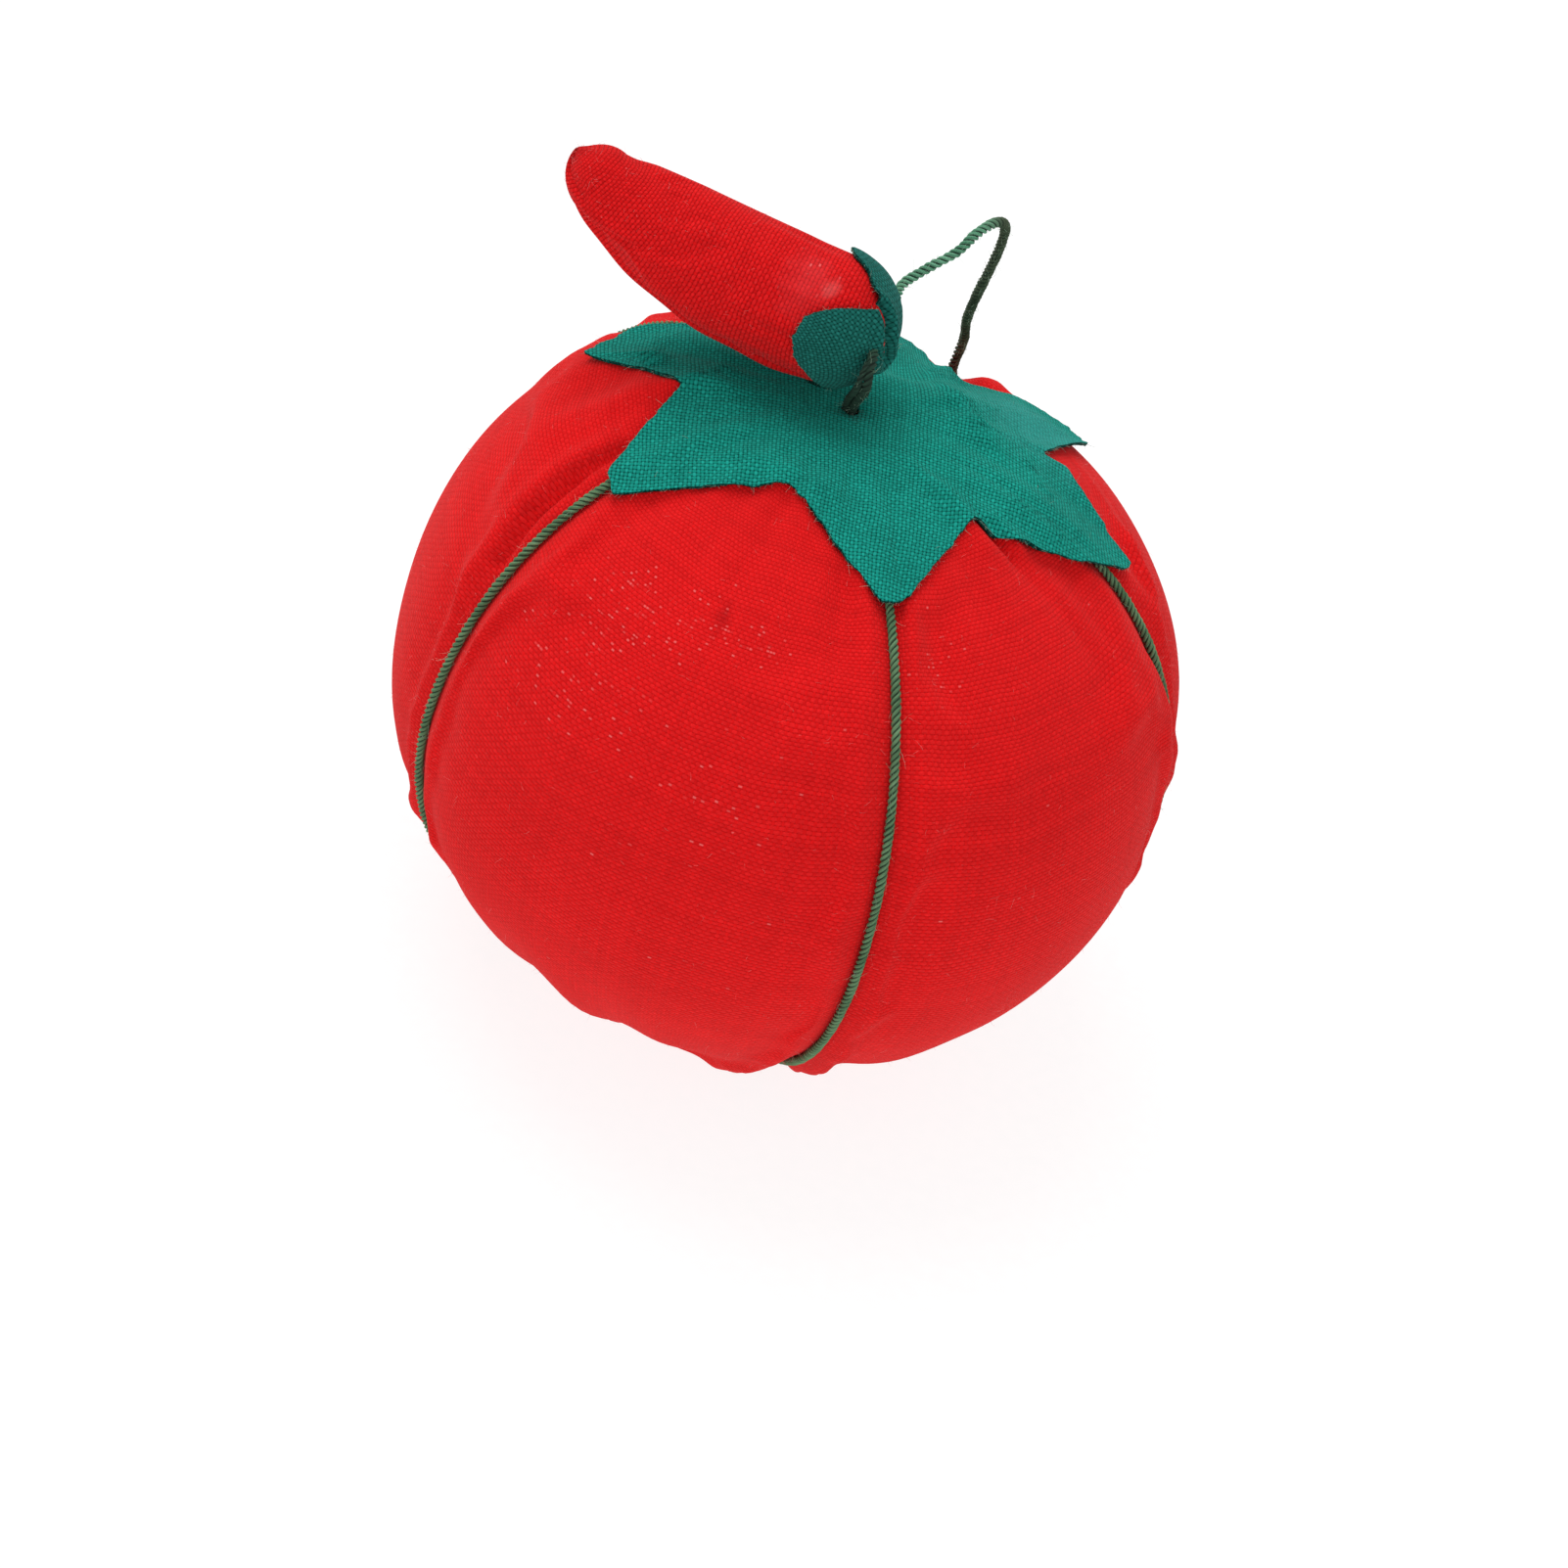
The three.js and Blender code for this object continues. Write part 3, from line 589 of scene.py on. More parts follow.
def woven_cotton(name, warp_colour, weft_colour, gap_shade_colour, warp_height, weft_dip, gap, relief, wander,
                 mottle, sheen, sheen_colour, crossing=0.1, specks=None, patches=()):
    """Plain weave. The UV counts yarns: U across the warp, V across the weft."""
    n = Nodes(name)
    raw_u, raw_v = n.uv()
    plain = n.vector(raw_u, raw_v)
    drift_u = n.noise(plain, 0.045, 3.0)
    drift_v = n.noise(n.vector(raw_u + 71.3, raw_v), 0.06, 3.0)
    jitter = n.noise(n.vector(raw_v, raw_u, 5.0), 0.55, 1.0)
    u = raw_u + (drift_u + jitter * 0.12) * wander
    v = raw_v + drift_v * wander
    yarn_u, yarn_v = n.math("FLOOR", u), n.math("FLOOR", v)
    wave_u, wave_v = n.math("SINE", u * math.pi), n.math("SINE", v * math.pi)
    round_u = n.math("POWER", n.math("ABSOLUTE", wave_u), 0.55)
    round_v = n.math("POWER", n.math("ABSOLUTE", wave_v), 0.55)
    over = n.math("SIGN", wave_u) * wave_v
    under = n.math("SIGN", wave_v) * wave_u
    # each yarn swells and thins along its length
    slub_u = n.step(n.noise(n.vector(yarn_u * 3.7, v * 0.11), 1.0, 2.0), *SLUB)
    slub_v = n.step(n.noise(n.vector(u * 0.11, yarn_v * 5.3), 1.0, 2.0), *SLUB)
    warp = round_u * (over * 0.5 + 0.5) * (slub_u * warp_height)
    weft = round_v * (under * -weft_dip + (1 - weft_dip)) * slub_v
    height = n.math("MAXIMUM", warp, weft)
    top_is_warp = n.step(warp - weft, -0.1, 0.1)
    # fine fibres along each yarn
    lint_u = n.noise(n.vector(u * 7.0, v * 1.1), 1.0, 1.0)
    lint_v = n.noise(n.vector(u * 1.1, v * 7.0), 1.0, 1.0)
    lint = lint_v + (lint_u - lint_v) * top_is_warp
    # yarns, crossings and whole areas differ a little in shade
    cell = n.random_cell(yarn_u, yarn_v)
    yarn_shade = n.random_cell(yarn_u, 3.0) * 0.06 + n.random_cell(5.0, yarn_v) * 0.08
    area_shade = n.step(n.noise(plain, 0.035, 3.0, 0.55), 0.3, 0.7, -mottle, mottle)
    shade = yarn_shade + (cell - 0.5) * crossing + area_shade + n.step(lint, 0.3, 0.7, 0.8, 1.06)
    yarn = n.colour(top_is_warp, weft_colour, warp_colour)
    yarn = n.colour(1.0, yarn, n.vector(shade, shade, shade), "MULTIPLY")
    # the low gaps between the yarns take the darker gap colour: painted shade in the weave's hollows
    colour = n.colour(n.step(height, *gap), gap_shade_colour, yarn)
    for middle, spread, share, patch_colour in patches:
        edge = patch_edge(n, raw_u, raw_v, middle, spread, n.noise(plain, 0.25, 3.0))
        colour = n.colour(n.step(edge, 0.6, 1.6, share, 0.0), colour, patch_colour)
    if specks:
        clusters, speck_colour = specks
        chance = RARE_SLUBS
        for middle, spread, share in clusters:
            edge = patch_edge(n, raw_u, raw_v, middle, spread, n.noise(plain, 0.12, 2.0))
            chance = n.step(edge, 0.5, 1.5, share, 0.0) + chance
        row = n.step(n.random_cell(9.0, yarn_v), 0.2, 0.9, 0.15, 1.0)
        lit = n.math("LESS_THAN", cell, row * chance)
        dash = n.step(round_v, 0.75, 1.0) * n.step(round_u, 0.3, 0.8)
        strength = n.step(n.random_cell(yarn_v, yarn_u), 0.0, 1.0, 0.1, 0.72)
        colour = n.colour(lit * dash * strength, colour, speck_colour)
    return n.finish(colour, n.step(height, 0, 1, 0.95, 0.8), height + lint * 0.25, relief, Sheen_Weight=sheen,
                    Sheen_Roughness=0.45, Sheen_Tint=sheen_colour, Specular_IOR_Level=0.05)


def plied_cotton(name, light, dark, groove, stretches=()):
    """Plied thread. U counts plies round the thread, V is the length along it in millimetres."""
    n = Nodes(name)
    u, v = n.uv()
    across = n.math("ABSOLUTE", n.math("FRACT", u) * 2.0 - 1.0)
    fibre = n.noise(n.vector(u * 5.0 + v * 2.6, v * 0.5), 1.0, 3.0, 0.6)
    patch = n.step(n.noise(n.vector(0.0, v), 0.35, 3.0), 0.3, 0.7, -0.15, 0.3)
    tone = n.math("ADD", n.step(fibre, 0.3, 0.7, 0.0, 0.75), patch, clamp=True)
    colour = n.colour(tone, dark, light)
    for start, stop, light_end, dark_end in stretches:
        colour = n.colour(n.step(v, start, stop), colour, n.colour(tone, dark_end, light_end))
    # the grooves between the plies take the darker groove colour: painted shade
    colour = n.colour(n.step(across, 0.45, 1.0), colour, groove)
    relief = (1.0 - across) * 0.3 + fibre
    return n.finish(colour, 0.85, relief, 0.00004, Sheen_Weight=0.08, Sheen_Roughness=0.5,
                    Sheen_Tint=light, Specular_IOR_Level=0.3)


def loose_fibre(name, pale, deep):
    """Hairs that stand off cloth or thread. U differs from hair to hair, V runs from root to tip."""
    n = Nodes(name)
    u, v = n.uv()
    colour = n.colour(u * 0.8 + v * 0.2, deep, pale)
    return n.finish(colour, 0.8, Sheen_Weight=0.3, Specular_IOR_Level=0.3)


def packed_fibre(name, pale, deep, scale, relief, roughness):
    """Stuffing or grit: fine lumps in two tones, placed by the point's own position."""
    n = Nodes(name)
    lumps = n.noise(n.place(), scale, 4.0, 0.65)
    colour = n.colour(n.step(lumps, 0.35, 0.65), deep, pale)
    return n.finish(colour, roughness, lumps, relief)


RED = dict(warp_colour=linear(219, 20, 22), weft_colour=linear(226, 29, 31), gap_shade_colour=linear(175, 8, 10),
           warp_height=0.8, weft_dip=0.36, gap=(0.05, 0.55), relief=0.00007, wander=2.2, mottle=0.03,
           sheen=0.1, sheen_colour=linear(255, 170, 165))
SPECK = linear(240, 120, 118)
# Bright slubs in the weave, by yarn number: middle, spread, share of the crossings
COVER_SLUBS = [((-48, 80), (20, 20), 0.34), ((-26, 68), (18, 15), 0.26), ((-52, 100), (26, 18), 0.14),
               ((-8, 66), (14, 12), 0.2), ((50, 66), (17, 15), 0.22), ((-20, 110), (40, 30), 0.05)]
COVER_SMUDGE = ((-22, 66), (3.2, 6), 0.3, linear(120, 14, 18))
red_cotton = woven_cotton("red cotton", **RED, specks=(COVER_SLUBS, SPECK), patches=[COVER_SMUDGE])
CHILI_RED = dict(RED, warp_colour=linear(217, 19, 21), weft_colour=linear(224, 29, 31),
                 gap_shade_colour=linear(150, 6, 8), gap=(0.1, 0.7))
# Worn pale patches near the cap, and bright slubs
CHILI_WEAR = [((15, 27), (11, 8), 0.22, linear(224, 80, 84)), ((15, 21), (3, 3), 0.22, linear(232, 130, 128))]
CHILI_SLUBS = [((15, 24), (9, 6), 0.12)]
chili_cotton = woven_cotton("red cotton on the chili", **CHILI_RED, specks=(CHILI_SLUBS, SPECK),
                            patches=CHILI_WEAR)
GREEN = dict(warp_colour=linear(28, 156, 141), weft_colour=linear(17, 140, 124),
             gap_shade_colour=linear(0, 52, 46), warp_height=0.95, weft_dip=0.5, gap=(0.12, 0.7), relief=0.00008,
             wander=2.2, mottle=0.09, sheen=0.06, sheen_colour=linear(170, 225, 215), crossing=0.2)
CALYX_PAINTED_LIGHT = ((54, 26), (27, 25), 0.5, linear(66, 164, 156))  # painted light: a paler patch on the leaf behind the crown, where it faces up towards the key light
green_cotton = woven_cotton("green cotton", **GREEN, patches=[CALYX_PAINTED_LIGHT])
CAP_GREEN = dict(GREEN, warp_colour=linear(34, 116, 107), weft_colour=linear(22, 98, 88),
                 gap_shade_colour=linear(2, 42, 36))
cap_cotton = woven_cotton("green cotton on the cap", **CAP_GREEN)
# painted shade: a darker green for the calyx's and the cap's cut edge and underside, for the shadow line
# beneath the cut edge
SHADED_EDGE_GREEN = dict(GREEN, warp_colour=linear(14, 84, 74), weft_colour=linear(8, 64, 56),
                  gap_shade_colour=linear(0, 26, 24), sheen=0.02)
green_edge_shade = woven_cotton("green cotton, painted shade on cut edge and underside", **SHADED_EDGE_GREEN)
THREAD_LIGHT = linear(120, 160, 118)
THREAD_DARK = linear(70, 108, 74)
THREAD_GROOVE_SHADE = linear(30, 54, 38)
green_thread = plied_cotton("green thread", THREAD_LIGHT, THREAD_DARK, THREAD_GROOVE_SHADE)
# painted light: the lighter, yellowish tones of the backlit top bend of the tether's loop
BACKLIT_LIGHT = linear(92, 106, 82)
BACKLIT_DARK = linear(44, 60, 42)
# painted shade: the dark tones that most of the tether's length takes, for its shadowed side
SHADED_LIGHT = linear(44, 74, 58)
SHADED_DARK = linear(14, 36, 28)
# The tether's colour carries painted light and shade: the dark tones are painted shade, the pale stretch from
# 9 to 13 mm, where it reaches the cap's hole, is painted light, and the yellowish stretch from 25.5 to 28.5
# mm is painted light on the loop's backlit top bend
tether_cotton = plied_cotton("tether thread", SHADED_LIGHT, SHADED_DARK, linear(14, 30, 22),
                             [(9.0, 13.0, linear(126, 186, 152), linear(72, 134, 102)),
                              (25.5, 28.5, BACKLIT_LIGHT, BACKLIT_DARK)])
red_thread = plied_cotton("red sewing thread", linear(205, 40, 40), linear(150, 16, 18), linear(80, 6, 8))
thread_hair = loose_fibre("green thread hair", linear(190, 215, 190), linear(90, 140, 105))
red_hair = loose_fibre("red lint", linear(246, 150, 146), linear(218, 50, 48))
green_hair = loose_fibre("cut green fibre", linear(176, 196, 172), linear(24, 110, 94))
stuffing = packed_fibre("stuffing", linear(240, 236, 225), linear(205, 198, 182), 2600.0, 0.0003, 0.95)
grit = packed_fibre("emery grit", linear(96, 92, 86), linear(38, 36, 33), 9000.0, 0.0001, 0.6)


# ---------------------------------------------------------------- camera

CAMERA_ELEVATION = math.radians(40)
CAMERA_ROLL = math.radians(17.8)
CAMERA_DISTANCE = 350
CAMERA_LENS = 102.25
CAMERA_AIM = (0.15, 7.23)  # how far the picture's middle lies left of and below the tomato's, in the picture


def make_camera():
    """The photograph's view: from the front and above, with the camera rolled."""
    middle = np.array([0, 0, EQUATOR_HEIGHT])
    cosine, sine = math.cos(CAMERA_ELEVATION), math.sin(CAMERA_ELEVATION)
    eye = middle + np.array([0, -cosine, sine]) * CAMERA_DISTANCE
    right, up = np.array([1, 0, 0]), np.array([0, sine, cosine])
    image_x = math.cos(CAMERA_ROLL) * right + math.sin(CAMERA_ROLL) * up
    image_y = math.cos(CAMERA_ROLL) * up - math.sin(CAMERA_ROLL) * right
    view_back = unit(eye - (middle - CAMERA_AIM[0] * image_x - CAMERA_AIM[1] * image_y))
    view_right = unit(np.cross(image_y, view_back))
    view_up = np.cross(view_back, view_right)
    data = bpy.data.cameras.new("camera")
    data.lens = CAMERA_LENS
    data.sensor_width = 36
    data.clip_start = 0.01
    data.clip_end = 20
    camera = bpy.data.objects.new("camera", data)
    bpy.context.scene.collection.objects.link(camera)
    columns = np.stack([view_right, view_up, view_back, eye * MM], -1)
    camera.matrix_world = Matrix([*columns.tolist(), (0, 0, 0, 1)])
    bpy.context.scene.camera = camera


make_camera()


# ---------------------------------------------------------------- tether, the one free cord

def furrow_point(angle, azimuth):
    return tomato_surface(angle, azimuth, THREAD_DIAMETER / 2 + THREAD_CLEARANCE)


def millimetres(points):
    return [tuple(c / MM for c in point) for point in points]


TETHER_LOOSENESS = 1.12  # the free loop isn't pulled tight, so its plies stand a little apart
# Near the crown the thread is doubled: how far a second strand lies beside the first, point by point
SECOND_STRAND_BESIDE = np.array([-0.62, -0.1, 0.0])
SECOND_STRAND_SHARES = np.array([0.5, 0.8, 1, 1, 1, 1, 0.9, 0.7, 0.4])
SECOND_STRAND_THICKNESS = 0.75
KNOT_STRAND = 0.36
TETHER_KNOT = ((*CROWN_GATHER, 49.75), 1.25)  # centre, size
BASE_KNOT = ((0, 0, 1.3), 1.4)


def make_tether():
    lift_point = furrow_point(LIFT_ANGLE, SEGMENT_AZIMUTHS[-1])
    lift_way = unit(furrow_point(LIFT_ANGLE + 0.02, SEGMENT_AZIMUTHS[-1]) - lift_point)
    route = millimetres([*TETHER_FOOT, CAP_ENTRY, CAP_EXIT, *TETHER_LOOP])
    route += [lift_point + lift_way * 2, lift_point + lift_way * 0.05]
    builder = Builder()
    path = twisted_thread(builder, route, THREAD_DIAMETER * TETHER_LOOSENESS, hair=7.0)
    tether = builder.object("tether", [tether_cotton, thread_hair])
    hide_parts("tether_thread")
    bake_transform(tether)

    twin = Builder()
    beside = SECOND_STRAND_BESIDE * SECOND_STRAND_SHARES[:, None]
    foot = np.array(millimetres(TETHER_FOOT))
    twisted_thread(twin, foot + beside, THREAD_DIAMETER * SECOND_STRAND_THICKNESS)
    twin_strand = twin.object("tether_second_strand", [tether_cotton, thread_hair])
    place(twin_strand, "tether")

    knot = make_knot("tether_knot_wound", *TETHER_KNOT)
    place(knot, "tether", "tether_knot")


def make_knot(name, centre, size):
    """A small knot wound from the same thread, on the curve of a trefoil."""
    t = full_turn(40)
    loop = np.stack([np.sin(t) + 2 * np.sin(2 * t), np.cos(t) - 2 * np.cos(2 * t), -np.sin(3 * t)], -1)
    builder = Builder()
    points = np.array(centre) + loop / 6 * (size - KNOT_STRAND)
    twisted_thread(builder, points, KNOT_STRAND, step=0.1, hair=0.5)
    return builder.object(name, [green_thread, thread_hair])


make_tether()


# ---------------------------------------------------------------- tomato cover

WARP_YARNS = 560  # round the tomato
WEFT_PITCH = 0.31
COVER_COLUMNS_PER_TURN = 360
COVER_ROWS = 191  # odd, as the simulated cloth has every other row
COVER_SLACK = 0.35  # the cloth starts this far inside and is blown up from there
# How far the filled cloth swells between the threads, at the crown and at the side
COVER_FULLNESS = (-0.45, 0.25)
LOW_BULGE = (math.radians(45), math.radians(32), 8, 5, 0.25)  # azimuth, its spread, height, its spread, size
# Flat places: azimuth and its spread, the heights where they start and are full, how far they drop
COVER_FLATS = [(math.radians(-74), math.radians(40), 17, 7, 0.95),
               (math.radians(98), math.radians(30), 17, 8, 0.35)]
# The same, behind the crown, where no thread lies
BACK_HOLLOW = (math.radians(166), math.radians(23), 40, 46, 1.9)
LINING_GAP = 0.3  # the lining and the stuffing keep this much clear of the cover's folds
STUFFING_DEPTH = 1.7
SIMULATION_SCALE = 10
SIMULATION_FRAMES = 20


def cover_columns():
    """Azimuths round the cover, close together at each thread."""
    columns = []
    for here, there in zip(SEGMENT_AZIMUTHS, [*SEGMENT_AZIMUTHS[1:], SEGMENT_AZIMUTHS[0] + 2 * math.pi]):
        count = round((there - here) / (2 * math.pi) * COVER_COLUMNS_PER_TURN / 2) * 2
        share = np.arange(count) / count
        crowded = share - 0.62 * np.sin(2 * math.pi * share) / (2 * math.pi)
        columns.append(here + (there - here) * crowded)
    return np.concatenate(columns)


def even_rows(low, high, count):
    """Outline angles that are evenly spaced along the cloth."""
    fine = np.linspace(low, high, 4000)
    run = length_along(np.stack(outline(fine), -1))
    return np.interp(np.linspace(0, run[-1], count), run, fine)


CLOTH_SETTINGS = {"quality": 6, "mass": 0.3, "tension_stiffness": 25, "compression_stiffness": 25,
                  "shear_stiffness": 10, "bending_stiffness": 0.6, "vertex_group_mass": "held",
                  "use_pressure": True, "uniform_pressure_force": 4.0, "shrink_min": -0.012}


def hold(cloth_object, weights):
    """Pins the cloth: 1 holds a point still, 0 leaves it free."""
    group = cloth_object.vertex_groups.new(name="held")
    weights = np.round(weights.ravel(), 2)
    for level in np.unique(weights[weights > 0]):
        group.add(np.flatnonzero(weights == level).tolist(), float(level), "REPLACE")


def inflate(points, held, cap):
    """Blows a tube of cloth up from inside with its held points fixed. Returns how far each point moves."""
    rows, columns = points.shape[:2]
    cloth_object = grid_piece("cloth trial", [], points, np.zeros((rows, columns + 1, 2)), around=True)
    cloth_object.data.transform(Matrix.Scale(SIMULATION_SCALE, 4))
    hold(cloth_object, held)
    modifier = cloth_object.modifiers.new("cloth", "CLOTH")
    for key, value in CLOTH_SETTINGS.items():
        setattr(modifier.settings, key, value)
    modifier.settings.effector_weights.gravity = 0
    modifier.collision_settings.use_collision = False
    modifier.point_cache.frame_start = 1
    modifier.point_cache.frame_end = SIMULATION_FRAMES
    scene = bpy.context.scene
    for number in range(1, SIMULATION_FRAMES + 1):
        scene.frame_set(number)
    evaluated = cloth_object.evaluated_get(bpy.context.evaluated_depsgraph_get())
    final = np.zeros(rows * columns * 3, np.float32)
    evaluated.data.vertices.foreach_get("co", final)
    final = final.reshape(rows, columns, 3).astype(float) / SIMULATION_SCALE / MM
    scene.frame_set(1)
    bpy.data.objects.remove(cloth_object)
    moved = final - points
    distance = np.linalg.norm(moved, axis=-1, keepdims=True)
    return moved * np.minimum(1, cap / np.maximum(distance, 1e-6))


def twice_as_fine(field):
    """Doubles a grid of vectors in both ways, in between by averages. Its columns go all the way round."""
    between = (field + np.roll(field, -1, 1)) / 2
    wide = np.stack([field, between], 2).reshape(field.shape[0], -1, field.shape[2])
    tall = np.empty((wide.shape[0] * 2 - 1, *wide.shape[1:]))
    tall[::2] = wide
    tall[1::2] = (wide[:-1] + wide[1:]) / 2
    return tall


def soften(field, times):
    """Smooths a grid whose columns go all the way round."""
    for _ in range(times):
        field = (field * 2 + np.roll(field, 1, 1) + np.roll(field, -1, 1)) / 4
        padded = np.concatenate([field[:1], field, field[-1:]])
        field = (padded[:-2] + 2 * padded[1:-1] + padded[2:]) / 4
    return field


def grid_normals(points):
    """Unit normals of a grid whose columns go all the way round."""
    down = np.gradient(points, axis=0)
    return unit(np.cross(down, np.roll(points, -1, 1) - np.roll(points, 1, 1)))


# Folds that the gathers leave in the cloth: (azimuth in degrees, height) points, width, height of the fold
COVER_FOLDS = [
    ([(-90, 51.0), (-86, 50.7), (-83, 50.3), (-80, 49.4), (-77, 48.0)], 0.5, 1.0),
    ([(-88, 50.9), (-86, 50.6), (-82, 50.1), (-79, 49.2), (-75, 47.6)], 0.45, -1.5),
    ([(-86, 50.8), (-83, 50.4), (-79, 49.6), (-75, 48.2), (-72, 46.4)], 0.6, 0.9),
    ([(-63, 48.6), (-63, 47.2), (-62, 45.6), (-61, 43.0), (-59, 40.0)], 0.5, -1.5),
    ([(-67, 48.6), (-66, 47.2), (-65, 45.4), (-64, 43.0), (-62, 40.0)], 0.9, 0.8),
    ([(-74, 47.8), (-71, 45.4), (-67, 42.4), (-64, 39.2)], 0.6, -0.5),
    ([(65, 50.2), (68, 49.4), (71, 48.0), (72, 46.4), (73, 44.2)], 0.6, 0.7),
    ([(60, 50.4), (63, 50.0), (65, 49.2), (67, 47.9), (68, 46.4), (69, 44.0)], 0.5, -1.4),
    ([(56, 50.2), (60, 49.2), (62, 47.6), (63, 45.4)], 0.8, 0.4),
    ([(124, 47.0), (116, 46.4), (109, 45.5), (103, 44.4), (97, 42.4)], 0.6, 0.8),
    ([(127, 46.2), (119, 45.4), (111, 44.2), (104, 42.6)], 0.5, -0.6),
    ([(28, 50.6), (27, 48.6), (26, 46.0)], 0.6, 0.3),
    ([(-160, 50.0), (-158, 48.0), (-155, 44.5)], 0.8, 0.45),
    ([(-140, 49.6), (-136, 47.6), (-130, 44.6)], 0.7, -0.4),
    ([(176, 49.4), (173, 46.5), (170, 43.5)], 0.7, -0.4),
]


def side_point(azimuth, height):
    angle = math.asin((height - EQUATOR_HEIGHT) / CROWN_RISE)
    return tomato_surface(angle, azimuth)


def fold_heights(points):
    flat = points.reshape(-1, 3)
    total = np.zeros(len(flat))
    for line, width, height in COVER_FOLDS:
        path, along = smooth_path([side_point(math.radians(a), z) for a, z in line], 0.3)
        near = np.flatnonzero(np.linalg.norm(flat - path.mean(0), axis=1) < along[-1] / 2 + 3 * width)
        away = np.linalg.norm(flat[near, None] - path[None], axis=2)
        fade = np.sin(math.pi * (0.08 + 0.84 * along[away.argmin(1)] / along[-1])) ** 0.7
        total[near] += height * fade * bell(away.min(1), width)
    return total.reshape(points.shape[:2])


def wave_mix(azimuth, counts, seed):
    """A sum of waves round the tomato with fixed random phases."""
    source = np.random.default_rng(seed)
    return sum(np.sin(count * azimuth + source.uniform(0, 6.28)) * source.uniform(0.6, 1) for count in counts)


def drop_of(flat_place, azimuth, height):
    middle, spread, from_height, full_height, drop = flat_place
    return drop * bell(turn_between(azimuth, middle), spread) * smooth_step(height, from_height, full_height)


def cover_sink(azimuth, radius, height):
    """How far the flat places and the hollow behind the crown lie below the plain outline."""
    flats = sum(drop_of(flat, azimuth, height) for flat in COVER_FLATS)
    hollow = drop_of(BACK_HOLLOW, azimuth, height) * smooth_step(radius, 6, 11)
    return flats, hollow


def cover_bumps(points, azimuth, radius, height, away):
    """Folds from the gathers, pleats at the base, puckers along the threads and lumps of filling."""
    bump = fold_heights(points) * smooth_step(height, 30, 38)
    low_part = smooth_step(height, 19, 5) * smooth_step(height, 0.0, 2.5)
    pleats = wave_mix(azimuth + 0.004 * height, (7, 11, 17, 23), 5)
    pleat_size = 0.1 + 0.2 * bell(turn_between(azimuth, math.radians(-8)), 0.55)
    bump += pleat_size * pleats * low_part * smooth_step(away, 0.6, 4)
    crown_part = smooth_step(height, 42, 49) * smooth_step(radius, 25, 14)
    bump += 0.1 * wave_mix(azimuth, (13, 19, 29), 8) * crown_part * smooth_step(away, 0.4, 3)
    pucker = np.sin(height / 1.35 + 2.1 * wave_mix(azimuth, (1, 3), 2)) * np.sin(height / 3.7 + 1)
    bump += 0.07 * pucker * bell(away - 2.2, 1.7) * smooth_step(height, 3, 8)
    lump = np.sin(height / 4.3 + 3 * np.sin(azimuth * 2)) * wave_mix(azimuth, (3, 5, 8), 3)
    return bump + 0.07 * lump * smooth_step(away, 1, 5)


def make_lint(name, body, roots, out, ways):
    """Lint that stands off the cloth."""
    builder = Builder()
    lengths = random.gamma(3, 0.11, len(out)) + 0.1
    fibres(builder, roots - out * 0.04, ways, lengths, 0.012, 0, bend=0.45)
    place(builder.object(name, [red_hair]), body)


